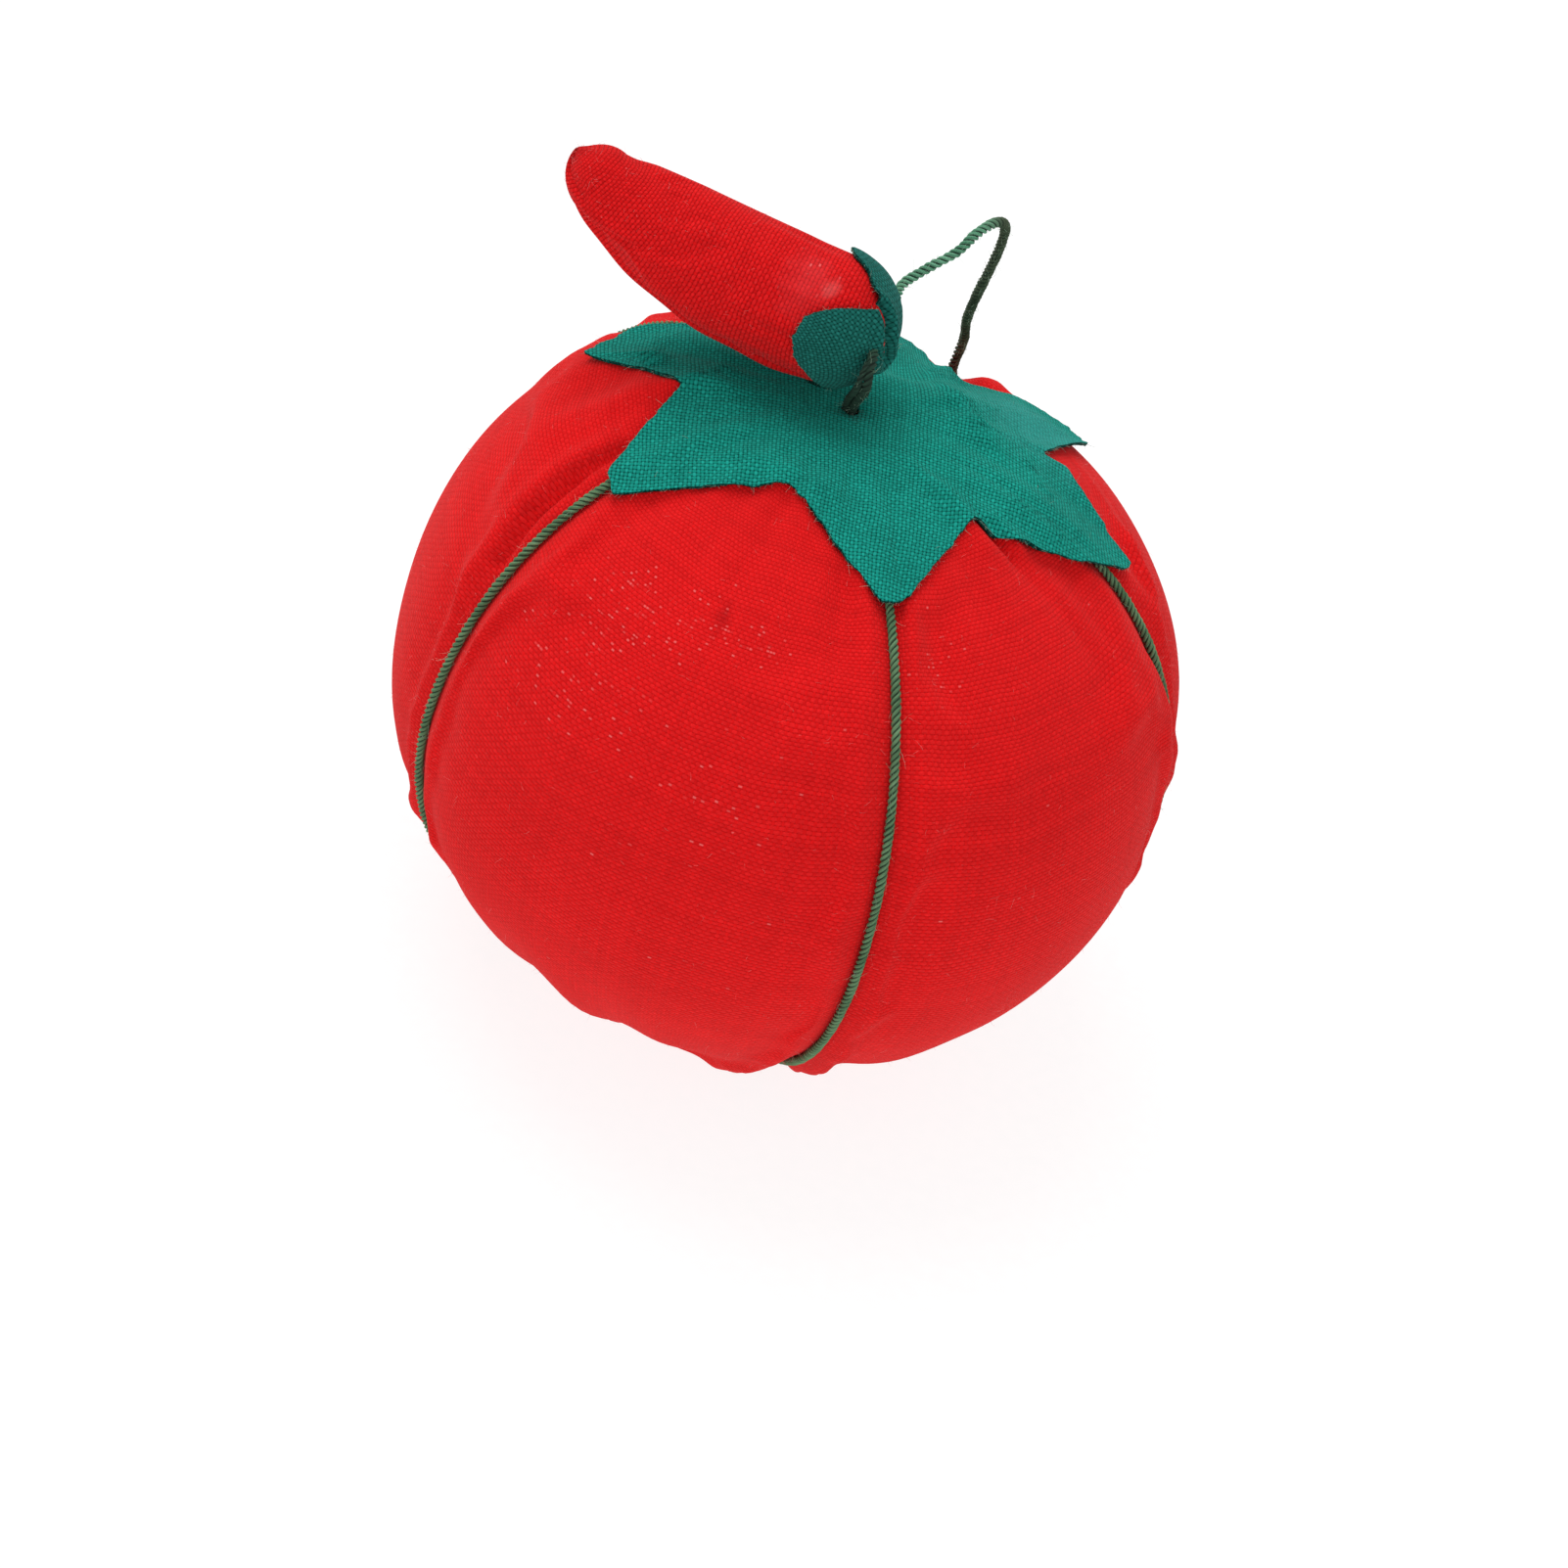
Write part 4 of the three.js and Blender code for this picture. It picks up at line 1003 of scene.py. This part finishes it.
def make_cover():
    azimuth = cover_columns()
    low = angle_at_radius(GATHER_RADIUS, False)
    high = angle_at_radius(GATHER_RADIUS, True)
    angle = even_rows(high, low, COVER_ROWS)
    grid_angle, grid_azimuth = np.meshgrid(angle, azimuth, indexing="ij")
    radius, height = outline(grid_angle)
    away = furrow_away(grid_azimuth, radius)
    start = tomato_surface(grid_angle, grid_azimuth, -COVER_SLACK, CLOTH_CREASE)
    free = smooth_step(away, 1.2, 3.0) * smooth_step(radius, 6, 11) * smooth_step(height, 0.3, 4)
    moved = inflate(start[::2, ::2], np.clip(1 - free[::2, ::2], 0, 1), 1.4)
    push = soften(twice_as_fine(moved), 2)
    normal = grid_normals(start)
    mean_out = (push * normal).sum(-1)[free > 0.8].mean()
    crown_full, side_full = COVER_FULLNESS
    swell = crown_full + (side_full - crown_full) * smooth_step(height, 48, 36)
    at, at_spread, bulge_height, height_spread, bulge = LOW_BULGE
    beside_bulge = bell(turn_between(grid_azimuth, at), at_spread)
    swell += bulge * beside_bulge * bell(height - bulge_height, height_spread)
    # the cloth is flatter beside the threads
    swell -= 0.45 * (1 - smooth_step(away, 2.0, 7.0)) * smooth_step(height, 1, 9)
    flats, hollow = cover_sink(grid_azimuth, radius, height)
    out = COVER_SLACK * (1 - free) + (COVER_SLACK - mean_out + swell - flats) * free - hollow
    points = start + push + normal * out[..., None]
    points += normal * cover_bumps(points, grid_azimuth, radius, height, away)[..., None]
    points[..., 2] = np.maximum(points[..., 2], 0)

    inner_angle = even_rows(low, high, 26)
    inner_radius, inner_height = outline(inner_angle[:, None])
    inner_depth = COVER_THICKNESS + COVER_SLACK + LINING_GAP
    inner_depth = inner_depth + sum(cover_sink(azimuth[None], inner_radius, inner_height))
    inner = tomato_surface(inner_angle[:, None], azimuth[None], -inner_depth, CLOTH_CREASE)
    run = length_along(points[:, 90])
    inner_run = run[-1] + np.linspace(0.6, run[-1], len(inner_angle))
    turn = np.append(azimuth, azimuth[0] + 2 * math.pi) / (2 * math.pi) * WARP_YARNS
    rows = np.concatenate([run, inner_run, [inner_run[-1] + 0.6]]) / WEFT_PITCH
    uv = np.stack(np.broadcast_arrays(turn[None], rows[:, None]), -1)
    cover = grid_piece("tomato_cover_cloth", [red_cotton], np.concatenate([points, inner]), uv,
                       around=True, round_rows=True, flip=True)
    place(cover, "tomato", "tomato_cover")

    shown = np.argwhere((height > 4) & (radius > 12))
    picked = shown[random.integers(0, len(shown), 3000)]
    roots = points[picked[:, 0], picked[:, 1]]
    out = normal[picked[:, 0], picked[:, 1]]
    flat_way = unit(np.cross(out, random.normal(size=out.shape)))
    ways = unit(out * random.uniform(*HAIR_LEAN, (len(out), 1)) + flat_way)
    make_lint("tomato_cover_lint", "tomato", roots, out, ways)
    return points


cover_points = make_cover()


# ---------------------------------------------------------------- segment threads, stitches and stuffing

def outline_angles():
    """Where a thread's route has its points, from the crown to the base."""
    crown = [angle_at_radius(r, True) for r in (2.9, 3.5, 4.3, 5.4, 7, 9.5)]
    base = [angle_at_radius(r, False) for r in (8.6, 6, 5, 4.3, 3.2)]
    side = np.linspace(math.radians(74), BASE_EDGE_ANGLE, 16)
    return np.array([*crown, *side[:-1], *base])


def core_point(azimuth, height):
    return leaned_point(azimuth, CORE_RING_RADIUS, np.float64(height))


def make_segment_thread(number, azimuth, lifted):
    """One thread: out of the core, over the crown, down its furrow and back under the base."""
    angles = outline_angles()
    if lifted:
        angles = np.array([LIFT_ANGLE, *angles[angles < LIFT_ANGLE - math.radians(2)]])
    outside = [furrow_point(a, azimuth) for a in angles]
    crown = [core_point(azimuth, z) for z in (25.3, 32, 38, 42.5, outside[0][2] - 1.4)]
    base = [core_point(azimuth, z) for z in (outside[-1][2] + 1.4, 10, 18, 24.7)]
    builder = Builder()
    twisted_thread(builder, [*([] if lifted else crown), *outside, *base], THREAD_DIAMETER)
    piece = builder.object(f"plied_thread_{number}", [green_thread, thread_hair])
    place(piece, "tomato", f"segment_thread_{number}")


for position, thread_azimuth in enumerate(SEGMENT_AZIMUTHS, 1):
    make_segment_thread(position, thread_azimuth, position == len(SEGMENT_AZIMUTHS))


def make_ring_stitch(name, node, body, centre, axis, radius, diameter):
    """A running stitch drawn into a ring: plied thread that dips in and out of the cloth."""
    axis = unit(np.array(axis, float))
    first = unit(np.cross(axis, [0.2, 0.9, 0.37]))
    second = np.cross(axis, first)
    turn = full_turn(40)[:, None]
    ring = radius * (np.cos(turn) * first + np.sin(turn) * second)
    dip = 0.06 * np.sin(turn * 10) * axis
    builder = Builder()
    twisted_thread(builder, np.array(centre) + ring + dip, diameter, plies=2, step=0.12, lay=0.9, hair=0.3)
    place(builder.object(name, [red_thread, red_hair]), body, node)


GATHER_STITCH_HEIGHTS = {"top": 46.3, "base": 4.7}
GATHER_STITCH_SIZE = (2.7, 0.4)  # ring radius, thread diameter
for end, stitch_height in GATHER_STITCH_HEIGHTS.items():
    make_ring_stitch(f"gather_stitch_{end}", f"cover_gather_thread_{end}", "tomato",
                     leaned_point(0.0, 0.0, np.float64(stitch_height)), (0, 0, 1), *GATHER_STITCH_SIZE)
place(make_knot("base_knot_wound", *BASE_KNOT), "tomato", "base_knot")


def make_tomato_filling():
    """Packed fibre with the threads' channel through it."""
    azimuth = full_turn(160)
    angle = even_rows(angle_at_radius(4.3, True), angle_at_radius(4.3, False), 70)[:, None]
    depth = STUFFING_DEPTH + sum(cover_sink(azimuth, *outline(angle)))
    skin = tomato_surface(angle, azimuth, -depth)
    lumps = (np.sin(7 * azimuth + 3 * np.sin(angle * 5)) * np.sin(angle * 11)
             + np.sin(17 * azimuth + 1.3) * np.sin(angle * 23 + azimuth))
    skin += grid_normals(skin) * (0.12 * lumps)[..., None]
    channel = np.stack([leaned_point(azimuth, 1.8, np.float64(z)) for z in (8, 14, 20, 26, 32, 38, 42.5)])
    points = np.concatenate([skin, channel])
    uv = np.zeros((len(points) + 1, len(azimuth) + 1, 2))
    uv[..., 0] = np.linspace(0, 190, len(azimuth) + 1)
    uv[..., 1] = np.linspace(0, 130, len(points) + 1)[:, None]
    filling = grid_piece("tomato_stuffing", [stuffing], points, uv, around=True, round_rows=True, flip=True)
    place(filling, "tomato", "tomato_filling")


make_tomato_filling()


# ---------------------------------------------------------------- calyx

CALYX_COLUMNS = 1080
CALYX_RINGS = 30
CALYX_THICKNESS = 0.32
EDGE_RINGS = (0.994, 1.0)  # the last two rings lie close together, so that the cut edge stays crisp
CALYX_LIFT = 0.06
CALYX_BRIDGING = 12  # rounds of smoothing over the hollows under it
ABOVE_ALL = 70
GREEN_PITCH = 0.3
CALYX_GRAIN = math.radians(9)  # the cloth's threads are a little askew of the front


def calyx_reach(azimuth):
    """Reach of the star's straight cut edges, in polar form."""
    corners = np.array([*CALYX_OUTLINE, CALYX_OUTLINE[0]], float)
    at, reach = np.radians(corners[:, 0]), corners[:, 1]
    at[-1] += 2 * math.pi
    turn = at[0] + (azimuth - at[0]) % (2 * math.pi)
    k = np.clip(np.searchsorted(at, turn, side="right") - 1, 0, len(CALYX_OUTLINE) - 1)
    a, b = reach[k], reach[k + 1]
    return a * b * np.sin(at[k + 1] - at[k]) / (a * np.sin(turn - at[k]) + b * np.sin(at[k + 1] - turn))


def cover_heights(x, y):
    """Height of the cover's top side under each point, found for every fourth column."""
    rows, columns = cover_points.shape[:2]
    index = np.arange(rows * columns).reshape(rows, columns)
    joined = np.concatenate([index, index[:, :1]], 1)[: rows // 2]
    quads = np.stack([joined[:-1, :-1], joined[:-1, 1:], joined[1:, 1:], joined[1:, :-1]], -1).reshape(-1, 4)
    tree = BVHTree.FromPolygons(cover_points.reshape(-1, 3).tolist(), quads.tolist())
    down = Vector((0, 0, -1))
    heights = np.zeros(x.shape)
    for ring, column in np.ndindex(x.shape[0], x.shape[1] // 4):
        hit = tree.ray_cast(Vector((x[ring, column * 4], y[ring, column * 4], ABOVE_ALL)), down)[0]
        heights[ring, column * 4:column * 4 + 4] = hit.z if hit else 0
    return heights


TENT = (0.35, 0.3, 3.0)  # half width of a thread's flat top, slope of the cloth beside it, reach of the tent


def thread_tents(points):
    """Height to which the segment threads hold up a cloth that lies over them."""
    flat = points[..., :2].reshape(-1, 2)
    tent = np.zeros(len(flat))
    half_width, slope, reach = TENT
    for azimuth in SEGMENT_AZIMUTHS[:-1]:
        line = furrow_point(angle_at_radius(np.linspace(2.9, 26, 90), True), azimuth)
        away = np.linalg.norm(flat[:, None] - line[None, :, :2], axis=-1)
        nearest = away.argmin(1)
        away = away.min(1)
        height = line[nearest, 2] + THREAD_DIAMETER / 2 - slope * np.maximum(0, away - half_width)
        tent = np.maximum(tent, np.where(away < reach, height, 0))
    return tent.reshape(points.shape[:2])


def cut_line(turn, edge, rounds, noise, waves):
    """Rounds the corners of a polar outline and gives it the wobble of a hand-cut edge."""
    noise_size, noise_seed = noise
    wave_size, wave_counts, wave_seed = waves
    wobble = soften_ring(np.random.default_rng(noise_seed).normal(size=len(turn)), 2)
    edge = soften_ring(edge, rounds)
    return edge + wobble / wobble.std() * noise_size + wave_size * wave_mix(turn, wave_counts, wave_seed)


def cut_edge_fibres(builder, edge, out, normal, count, length, slot):
    """Yarn ends and hairs along a raw edge."""
    picked = random.integers(0, len(edge), count)
    along = unit(np.roll(edge, -1, 0) - np.roll(edge, 1, 0))[picked]
    aside = along * random.normal(0, 0.7, (count, 1))
    ways = unit(out[picked] + aside + normal[picked] * random.normal(0.1, 0.35, (count, 1)))
    depth = random.uniform(0.02, 0.12, (count, 1))
    fibres(builder, edge[picked] - out[picked] * depth, ways, random.gamma(3, length / 3, count), 0.02, slot,
           bend=0.45, rings=4)


def sheet_piece(name, top, bottom, flat, grain, materials, fray, flip=False):
    """Closes a polar sheet: top side, bottom side and the raw edge between them."""
    x, y = flat
    cosine, sine = math.cos(grain), math.sin(grain)
    uv = np.stack([cosine * x + sine * y, -sine * x + cosine * y], -1) / GREEN_PITCH
    uv = np.concatenate([uv, uv[:, :1]], 1)
    # the top has the cloth's own look; the cut edge and the underside get a darker green, painted shade for
    # the shadow line under the cut edge
    slots = np.where(np.arange(len(top) * 2) < len(top) - 1, 0, 2)
    builder = Builder()
    builder.grid(np.concatenate([top, bottom[::-1]]), np.concatenate([uv, uv[::-1], uv[:1]]),
                 around=True, round_rows=True, flip=flip, slot=slots)
    middle = (top[-1] + bottom[-1]) / 2
    cut_edge_fibres(builder, middle, unit(top[-1] - top[-2]), unit(top[-1] - bottom[-1]), *fray, 1)
    return builder.object(name, materials)


def flat_size(flat, rim):
    """Width, length and area of a sheet laid out flat, in metres, from its points and its polar rim."""
    sides = tuple(float((values[-1].max() - values[-1].min()) * MM) for values in flat)
    area = 0.5 * (rim * np.roll(rim, -1) * math.sin(2 * math.pi / len(rim))).sum()
    return {"flat": sides, "area": float(area * MM * MM)}


def make_calyx():
    azimuth = full_turn(CALYX_COLUMNS)
    edge = cut_line(azimuth, calyx_reach(azimuth), 3, (0.035, 4), (0.05, (31, 47, 67), 6))
    share = np.append(np.linspace(0, 1, CALYX_RINGS - 1)[:-1] ** 0.8, EDGE_RINGS)
    reach = CALYX_HOLE_RADIUS + (edge - CALYX_HOLE_RADIUS) * share[:, None]
    around = np.broadcast_to(azimuth, reach.shape)
    top = crown_over(around, reach, CALYX_LIFT + CALYX_THICKNESS)
    above = np.maximum(cover_heights(top[..., 0], top[..., 1]), thread_tents(top))
    # the cloth lies on the cover, bridges its small hollows, and stands free only over the gather
    upright = np.clip(grid_normals(top)[..., 2], 0.55, 1)
    bridged = np.maximum(above, soften(above, CALYX_BRIDGING))
    lying = bridged + (CALYX_THICKNESS + CALYX_LIFT) / upright
    laid = smooth_step(reach, 5, 10)
    height = np.maximum(top[..., 2] * (1 - laid) + lying * laid, lying)
    height = np.maximum(soften(height, 5), above + (CALYX_THICKNESS + 0.02) / upright)
    # crests and hollows that run out along the leaves and fade at the edge
    ripple = 0.06 * np.sin(6 * around + 0.7) + 0.06 * wave_mix(around, (4, 9, 13), 12)
    fade = smooth_step(reach, 3, 10) * smooth_step(share, 1.0, 0.8)[:, None]
    top[..., 2] = height + np.maximum(ripple, -0.02) * fade
    bottom = top - grid_normals(top) * CALYX_THICKNESS
    flat_reach = length_along(top) + CALYX_HOLE_RADIUS
    flat = (flat_reach * np.sin(around), -flat_reach * np.cos(around))
    calyx = sheet_piece("calyx_cloth", top, bottom, flat, CALYX_GRAIN, [green_cotton, green_hair, green_edge_shade],
                        (800, 0.26), flip=True)
    place(calyx, "tomato", "calyx")
    flat_size(flat, flat_reach[-1])


make_calyx()


# ---------------------------------------------------------------- chili

CHILI_WARP_YARNS = 92
CHILI_PITCH = 0.32
CHILI_COLUMNS = 200
CHILI_SEAM_TURN = math.radians(-58)
CHILI_SLACK = 0.2  # the cloth starts this far inside
EMERY_DEPTH = 1.25


def chili_bumps(station, turn, to_seam):
    """Pleats at the gather, and the raised seam with the hollow and puckers beside it."""
    body = smooth_step(station, -2, 3) * smooth_step(station, CHILI_LENGTH + 2, CHILI_LENGTH - 2)
    pleats = wave_mix(turn, (9, 14, 21), 31) * smooth_step(station, 11, 1) * smooth_step(station, -1, 3)
    seam = 0.30 * bell(to_seam, 0.42) - 0.22 * bell(to_seam - 0.9, 0.4)
    puckers = 0.06 * np.sin(station / 0.9 + 2 * np.sin(turn)) * bell(to_seam, 2.2)
    return 0.07 * pleats + (seam + puckers) * body


def make_chili_cover():
    quarter = CHILI_RADIUS * math.pi / 2
    gather = CHILI_RADIUS * math.asin(CHILI_GATHER_RADIUS / CHILI_RADIUS)
    tip = np.linspace(0, math.pi / 2 - 0.02, 26)[1:]
    station = np.concatenate([station_from_pole(np.linspace(gather, quarter, 26)),
                              np.linspace(0, CHILI_LENGTH, 66)[1:],
                              CHILI_LENGTH + CHILI_TIP_RADIUS * np.sin(tip)])
    turn = full_turn(CHILI_COLUMNS)
    grid_station, grid_turn = np.meshgrid(station, turn, indexing="ij")
    start = chili_surface(grid_station, grid_turn, -CHILI_SLACK)
    to_seam = turn_between(grid_turn, CHILI_SEAM_TURN) * chili_radius(grid_station)
    normal = -grid_normals(start)
    held = np.clip(np.maximum(bell(to_seam, 0.6), 1 - smooth_step(grid_station, -1, 4)), 0, 1)
    push = soften(inflate(start, held, 0.5), 1)
    sag = 0.25 * smooth_step(grid_station, 2, 10) * (0.5 + 0.5 * np.cos(grid_turn - CHILI_SEAM_TURN))
    points = start + push + normal * (sag + chili_bumps(grid_station, grid_turn, to_seam))[..., None]
    inner_station = station[::-4]
    inner = chili_surface(inner_station[:, None], turn[None], -COVER_THICKNESS - CHILI_SLACK)
    run = length_along(points[:, 0])
    inner_run = run[-1] + 0.6 + np.arange(len(inner_station)) * 1.2
    rows = np.concatenate([run, inner_run]) / CHILI_PITCH
    across = np.linspace(0, CHILI_WARP_YARNS, CHILI_COLUMNS + 1)
    uv = np.stack(np.broadcast_arrays(across[None], rows[:, None]), -1)
    cover = grid_piece("chili_cover_cloth", [chili_cotton], np.concatenate([points, inner]),
                       np.concatenate([uv, uv[:1]]), around=True, round_rows=True)
    place(cover, "chili", "chili_cover")

    picked = random.integers(0, points[30:].shape[0] * CHILI_COLUMNS, 420)
    roots, out = points[30:].reshape(-1, 3)[picked], normal[30:].reshape(-1, 3)[picked]
    lean = out * random.uniform(*HAIR_LEAN, (len(out), 1))
    ways = unit(lean + unit(np.cross(out, random.normal(size=out.shape))))
    make_lint("chili_cover_lint", "chili", roots, out, ways)


make_chili_cover()


def make_chili_filling():
    """Emery grit, up to the cloth's inner side."""
    round_end = -CHILI_RADIUS * np.cos(np.linspace(0.02, math.pi / 2, 14))[:-1]
    tip = CHILI_TIP_RADIUS * np.sin(np.linspace(0, math.pi / 2 - 0.02, 10)[1:])
    station = np.concatenate([round_end, np.linspace(0, CHILI_LENGTH, 30), CHILI_LENGTH + tip])
    turn = full_turn(72)
    points = chili_surface(station[:, None], turn[None], -EMERY_DEPTH)
    points += random.normal(0, 0.03, points.shape)
    uv = np.zeros((len(station), len(turn) + 1, 2))
    uv[..., 0] = np.linspace(0, 30, len(turn) + 1)
    uv[..., 1] = station[:, None]
    filling = grid_piece("chili_emery", [grit], points, uv, around=True, caps=True)
    place(filling, "chili", "chili_filling")


make_chili_filling()
CHILI_STITCH_SIZE = (0.75, 0.3)  # ring radius, thread diameter
CHILI_STITCH_STATION = -4.75
CHILI_AXIS = np.array([*CHILI_HEADING, 0])
make_ring_stitch("chili_stitch_ring", "chili_gather_stitch", "chili",
                 CHILI_END + CHILI_AXIS * CHILI_STITCH_STATION, CHILI_AXIS, *CHILI_STITCH_SIZE)


# ---------------------------------------------------------------- chili cap

# A tuck in the cap beside the thread's hole: (turn in degrees, reach), its width and depth
CAP_TUCK = [(67, 4.3), (60, 3.2), (44, 2.5), (15, 1.8), (-34, 1.5)]
CAP_TUCK_SIZE = (0.36, 0.75)
# Edge of the cap: (turn in degrees, reach from the round end's pole) of its lobes and notches
CAP_EDGE = [(8, 9.5), (28, 9.2), (40, 7.8), (54, 5.3), (64, 4.0), (76, 5.2), (92, 6.5), (104, 7.9),
            (120, 8.5), (138, 8.1), (152, 6.4), (162, 5.2), (174, 6.8), (190, 8.8), (208, 9.2),
            (224, 8.2), (236, 6.2), (246, 5.4), (258, 6.8), (274, 8.6), (288, 8.2), (300, 6.3),
            (309, 5.6), (320, 6.6), (336, 7.7), (352, 9.0)]
CAP_COLUMNS = 520
CAP_RINGS = 30
CAP_THICKNESS = 0.3
CAP_LIFT = -0.1  # the cover under it lies a little inside the CAD skin
CAP_GRAIN = math.radians(20)


def tuck_in(x, y):
    """The cap's tuck: a narrow groove with a low welt along it, over the flat cap."""
    line = [(r * math.cos(math.radians(t)), r * math.sin(math.radians(t)), 0) for t, r in CAP_TUCK]
    tuck, _ = smooth_path(line, 0.15)
    flat_points = np.stack([x, y, np.zeros_like(x)], -1)
    away = np.linalg.norm(flat_points[:, :, None] - tuck, axis=-1).min(-1)
    width, depth = CAP_TUCK_SIZE
    return 0.5 * depth * bell(away - 0.8, 0.5) - depth * bell(away, width)


def make_cap():
    turn = full_turn(CAP_COLUMNS)
    at, reach_at = np.array(CAP_EDGE).T
    edge = np.interp(turn, np.radians(at), reach_at, period=2 * math.pi)
    edge = cut_line(turn, edge, 6, (0.025, 14), (0.03, (29, 43), 16))
    share = np.append(np.linspace(0.02, 1, CAP_RINGS - 1)[:-1], EDGE_RINGS)[:, None]
    reach = edge * share
    around = np.broadcast_to(turn, reach.shape)
    flat = (reach * np.cos(around), reach * np.sin(around))
    ripple = 0.04 * wave_mix(around, (5, 8), 18) * share ** 2
    offset = CAP_LIFT + CAP_THICKNESS + ripple + 0.08 * smooth_step(share, 0.8, 1.0) + tuck_in(*flat)
    top = chili_surface(station_from_pole(reach), around, offset)
    # the thread draws the cap in where it passes through
    for hole in np.array(millimetres([CAP_ENTRY, CAP_EXIT])):
        away = np.linalg.norm(top - hole, axis=-1)
        spin = np.arctan2(top[..., 2] - hole[2], top[..., 0] - hole[0])
        pucker = 0.08 * np.cos(7 * spin) * bell(away - 1.2, 0.7)
        top = top + unit(CHILI_END - top) * (0.1 * bell(away, 0.75) + pucker)[..., None]
    bottom = top - unit(top - CHILI_END) * CAP_THICKNESS
    cap = sheet_piece("chili_cap_cloth", top, bottom, flat, -CAP_GRAIN, [cap_cotton, green_hair, green_edge_shade],
                      (260, 0.22))
    place(cap, "chili", "chili_cap")
    flat_size(flat, edge)


make_cap()


# ---------------------------------------------------------------- floor and light

FLOOR_HALF = 3.0
TOMATO_MIDDLE = (0, 0, EQUATOR_HEIGHT * MM)


def make_floor():
    mesh = bpy.data.meshes.new("floor")
    corners = [(x * FLOOR_HALF, y * FLOOR_HALF, 0) for x, y in ((-1, -1), (1, -1), (1, 1), (-1, 1))]
    mesh.from_pydata(corners, [], [(0, 1, 2, 3)])
    n = Nodes("white paper")
    grain = n.noise(n.place(), 900.0, 3.0)
    colour = n.colour(n.step(grain, 0.3, 0.7), linear(120, 120, 120), linear(126, 126, 126))
    mesh.materials.append(n.finish(colour, 0.95, Specular_IOR_Level=0.1, Emission_Color=(1, 1, 1, 1),
                                   Emission_Strength=0.86))
    floor = bpy.data.objects.new("floor", mesh)
    bpy.context.scene.collection.objects.link(floor)


def make_light(name, at, width, power):
    data = bpy.data.lights.new(name, "AREA")
    data.shape = "DISK"
    data.size = width
    data.energy = power
    light = bpy.data.objects.new(name, data)
    bpy.context.scene.collection.objects.link(light)
    light.location = at
    light.rotation_euler = (Vector(TOMATO_MIDDLE) - Vector(at)).to_track_quat("-Z", "Y").to_euler()


make_floor()
make_light("key", (-0.35, 0.3, 0.95), 0.8, 6.0)
make_light("fill", (0.2, -0.9, 0.45), 0.8, 1.2)
world = bpy.data.worlds.new("studio")
world.use_nodes = True
background = world.node_tree.nodes["Background"].inputs
background["Color"].default_value = (1, 1, 1, 1)
background["Strength"].default_value = 0.62
bpy.context.scene.world = world
bpy.context.scene.view_settings.view_transform = "Standard"
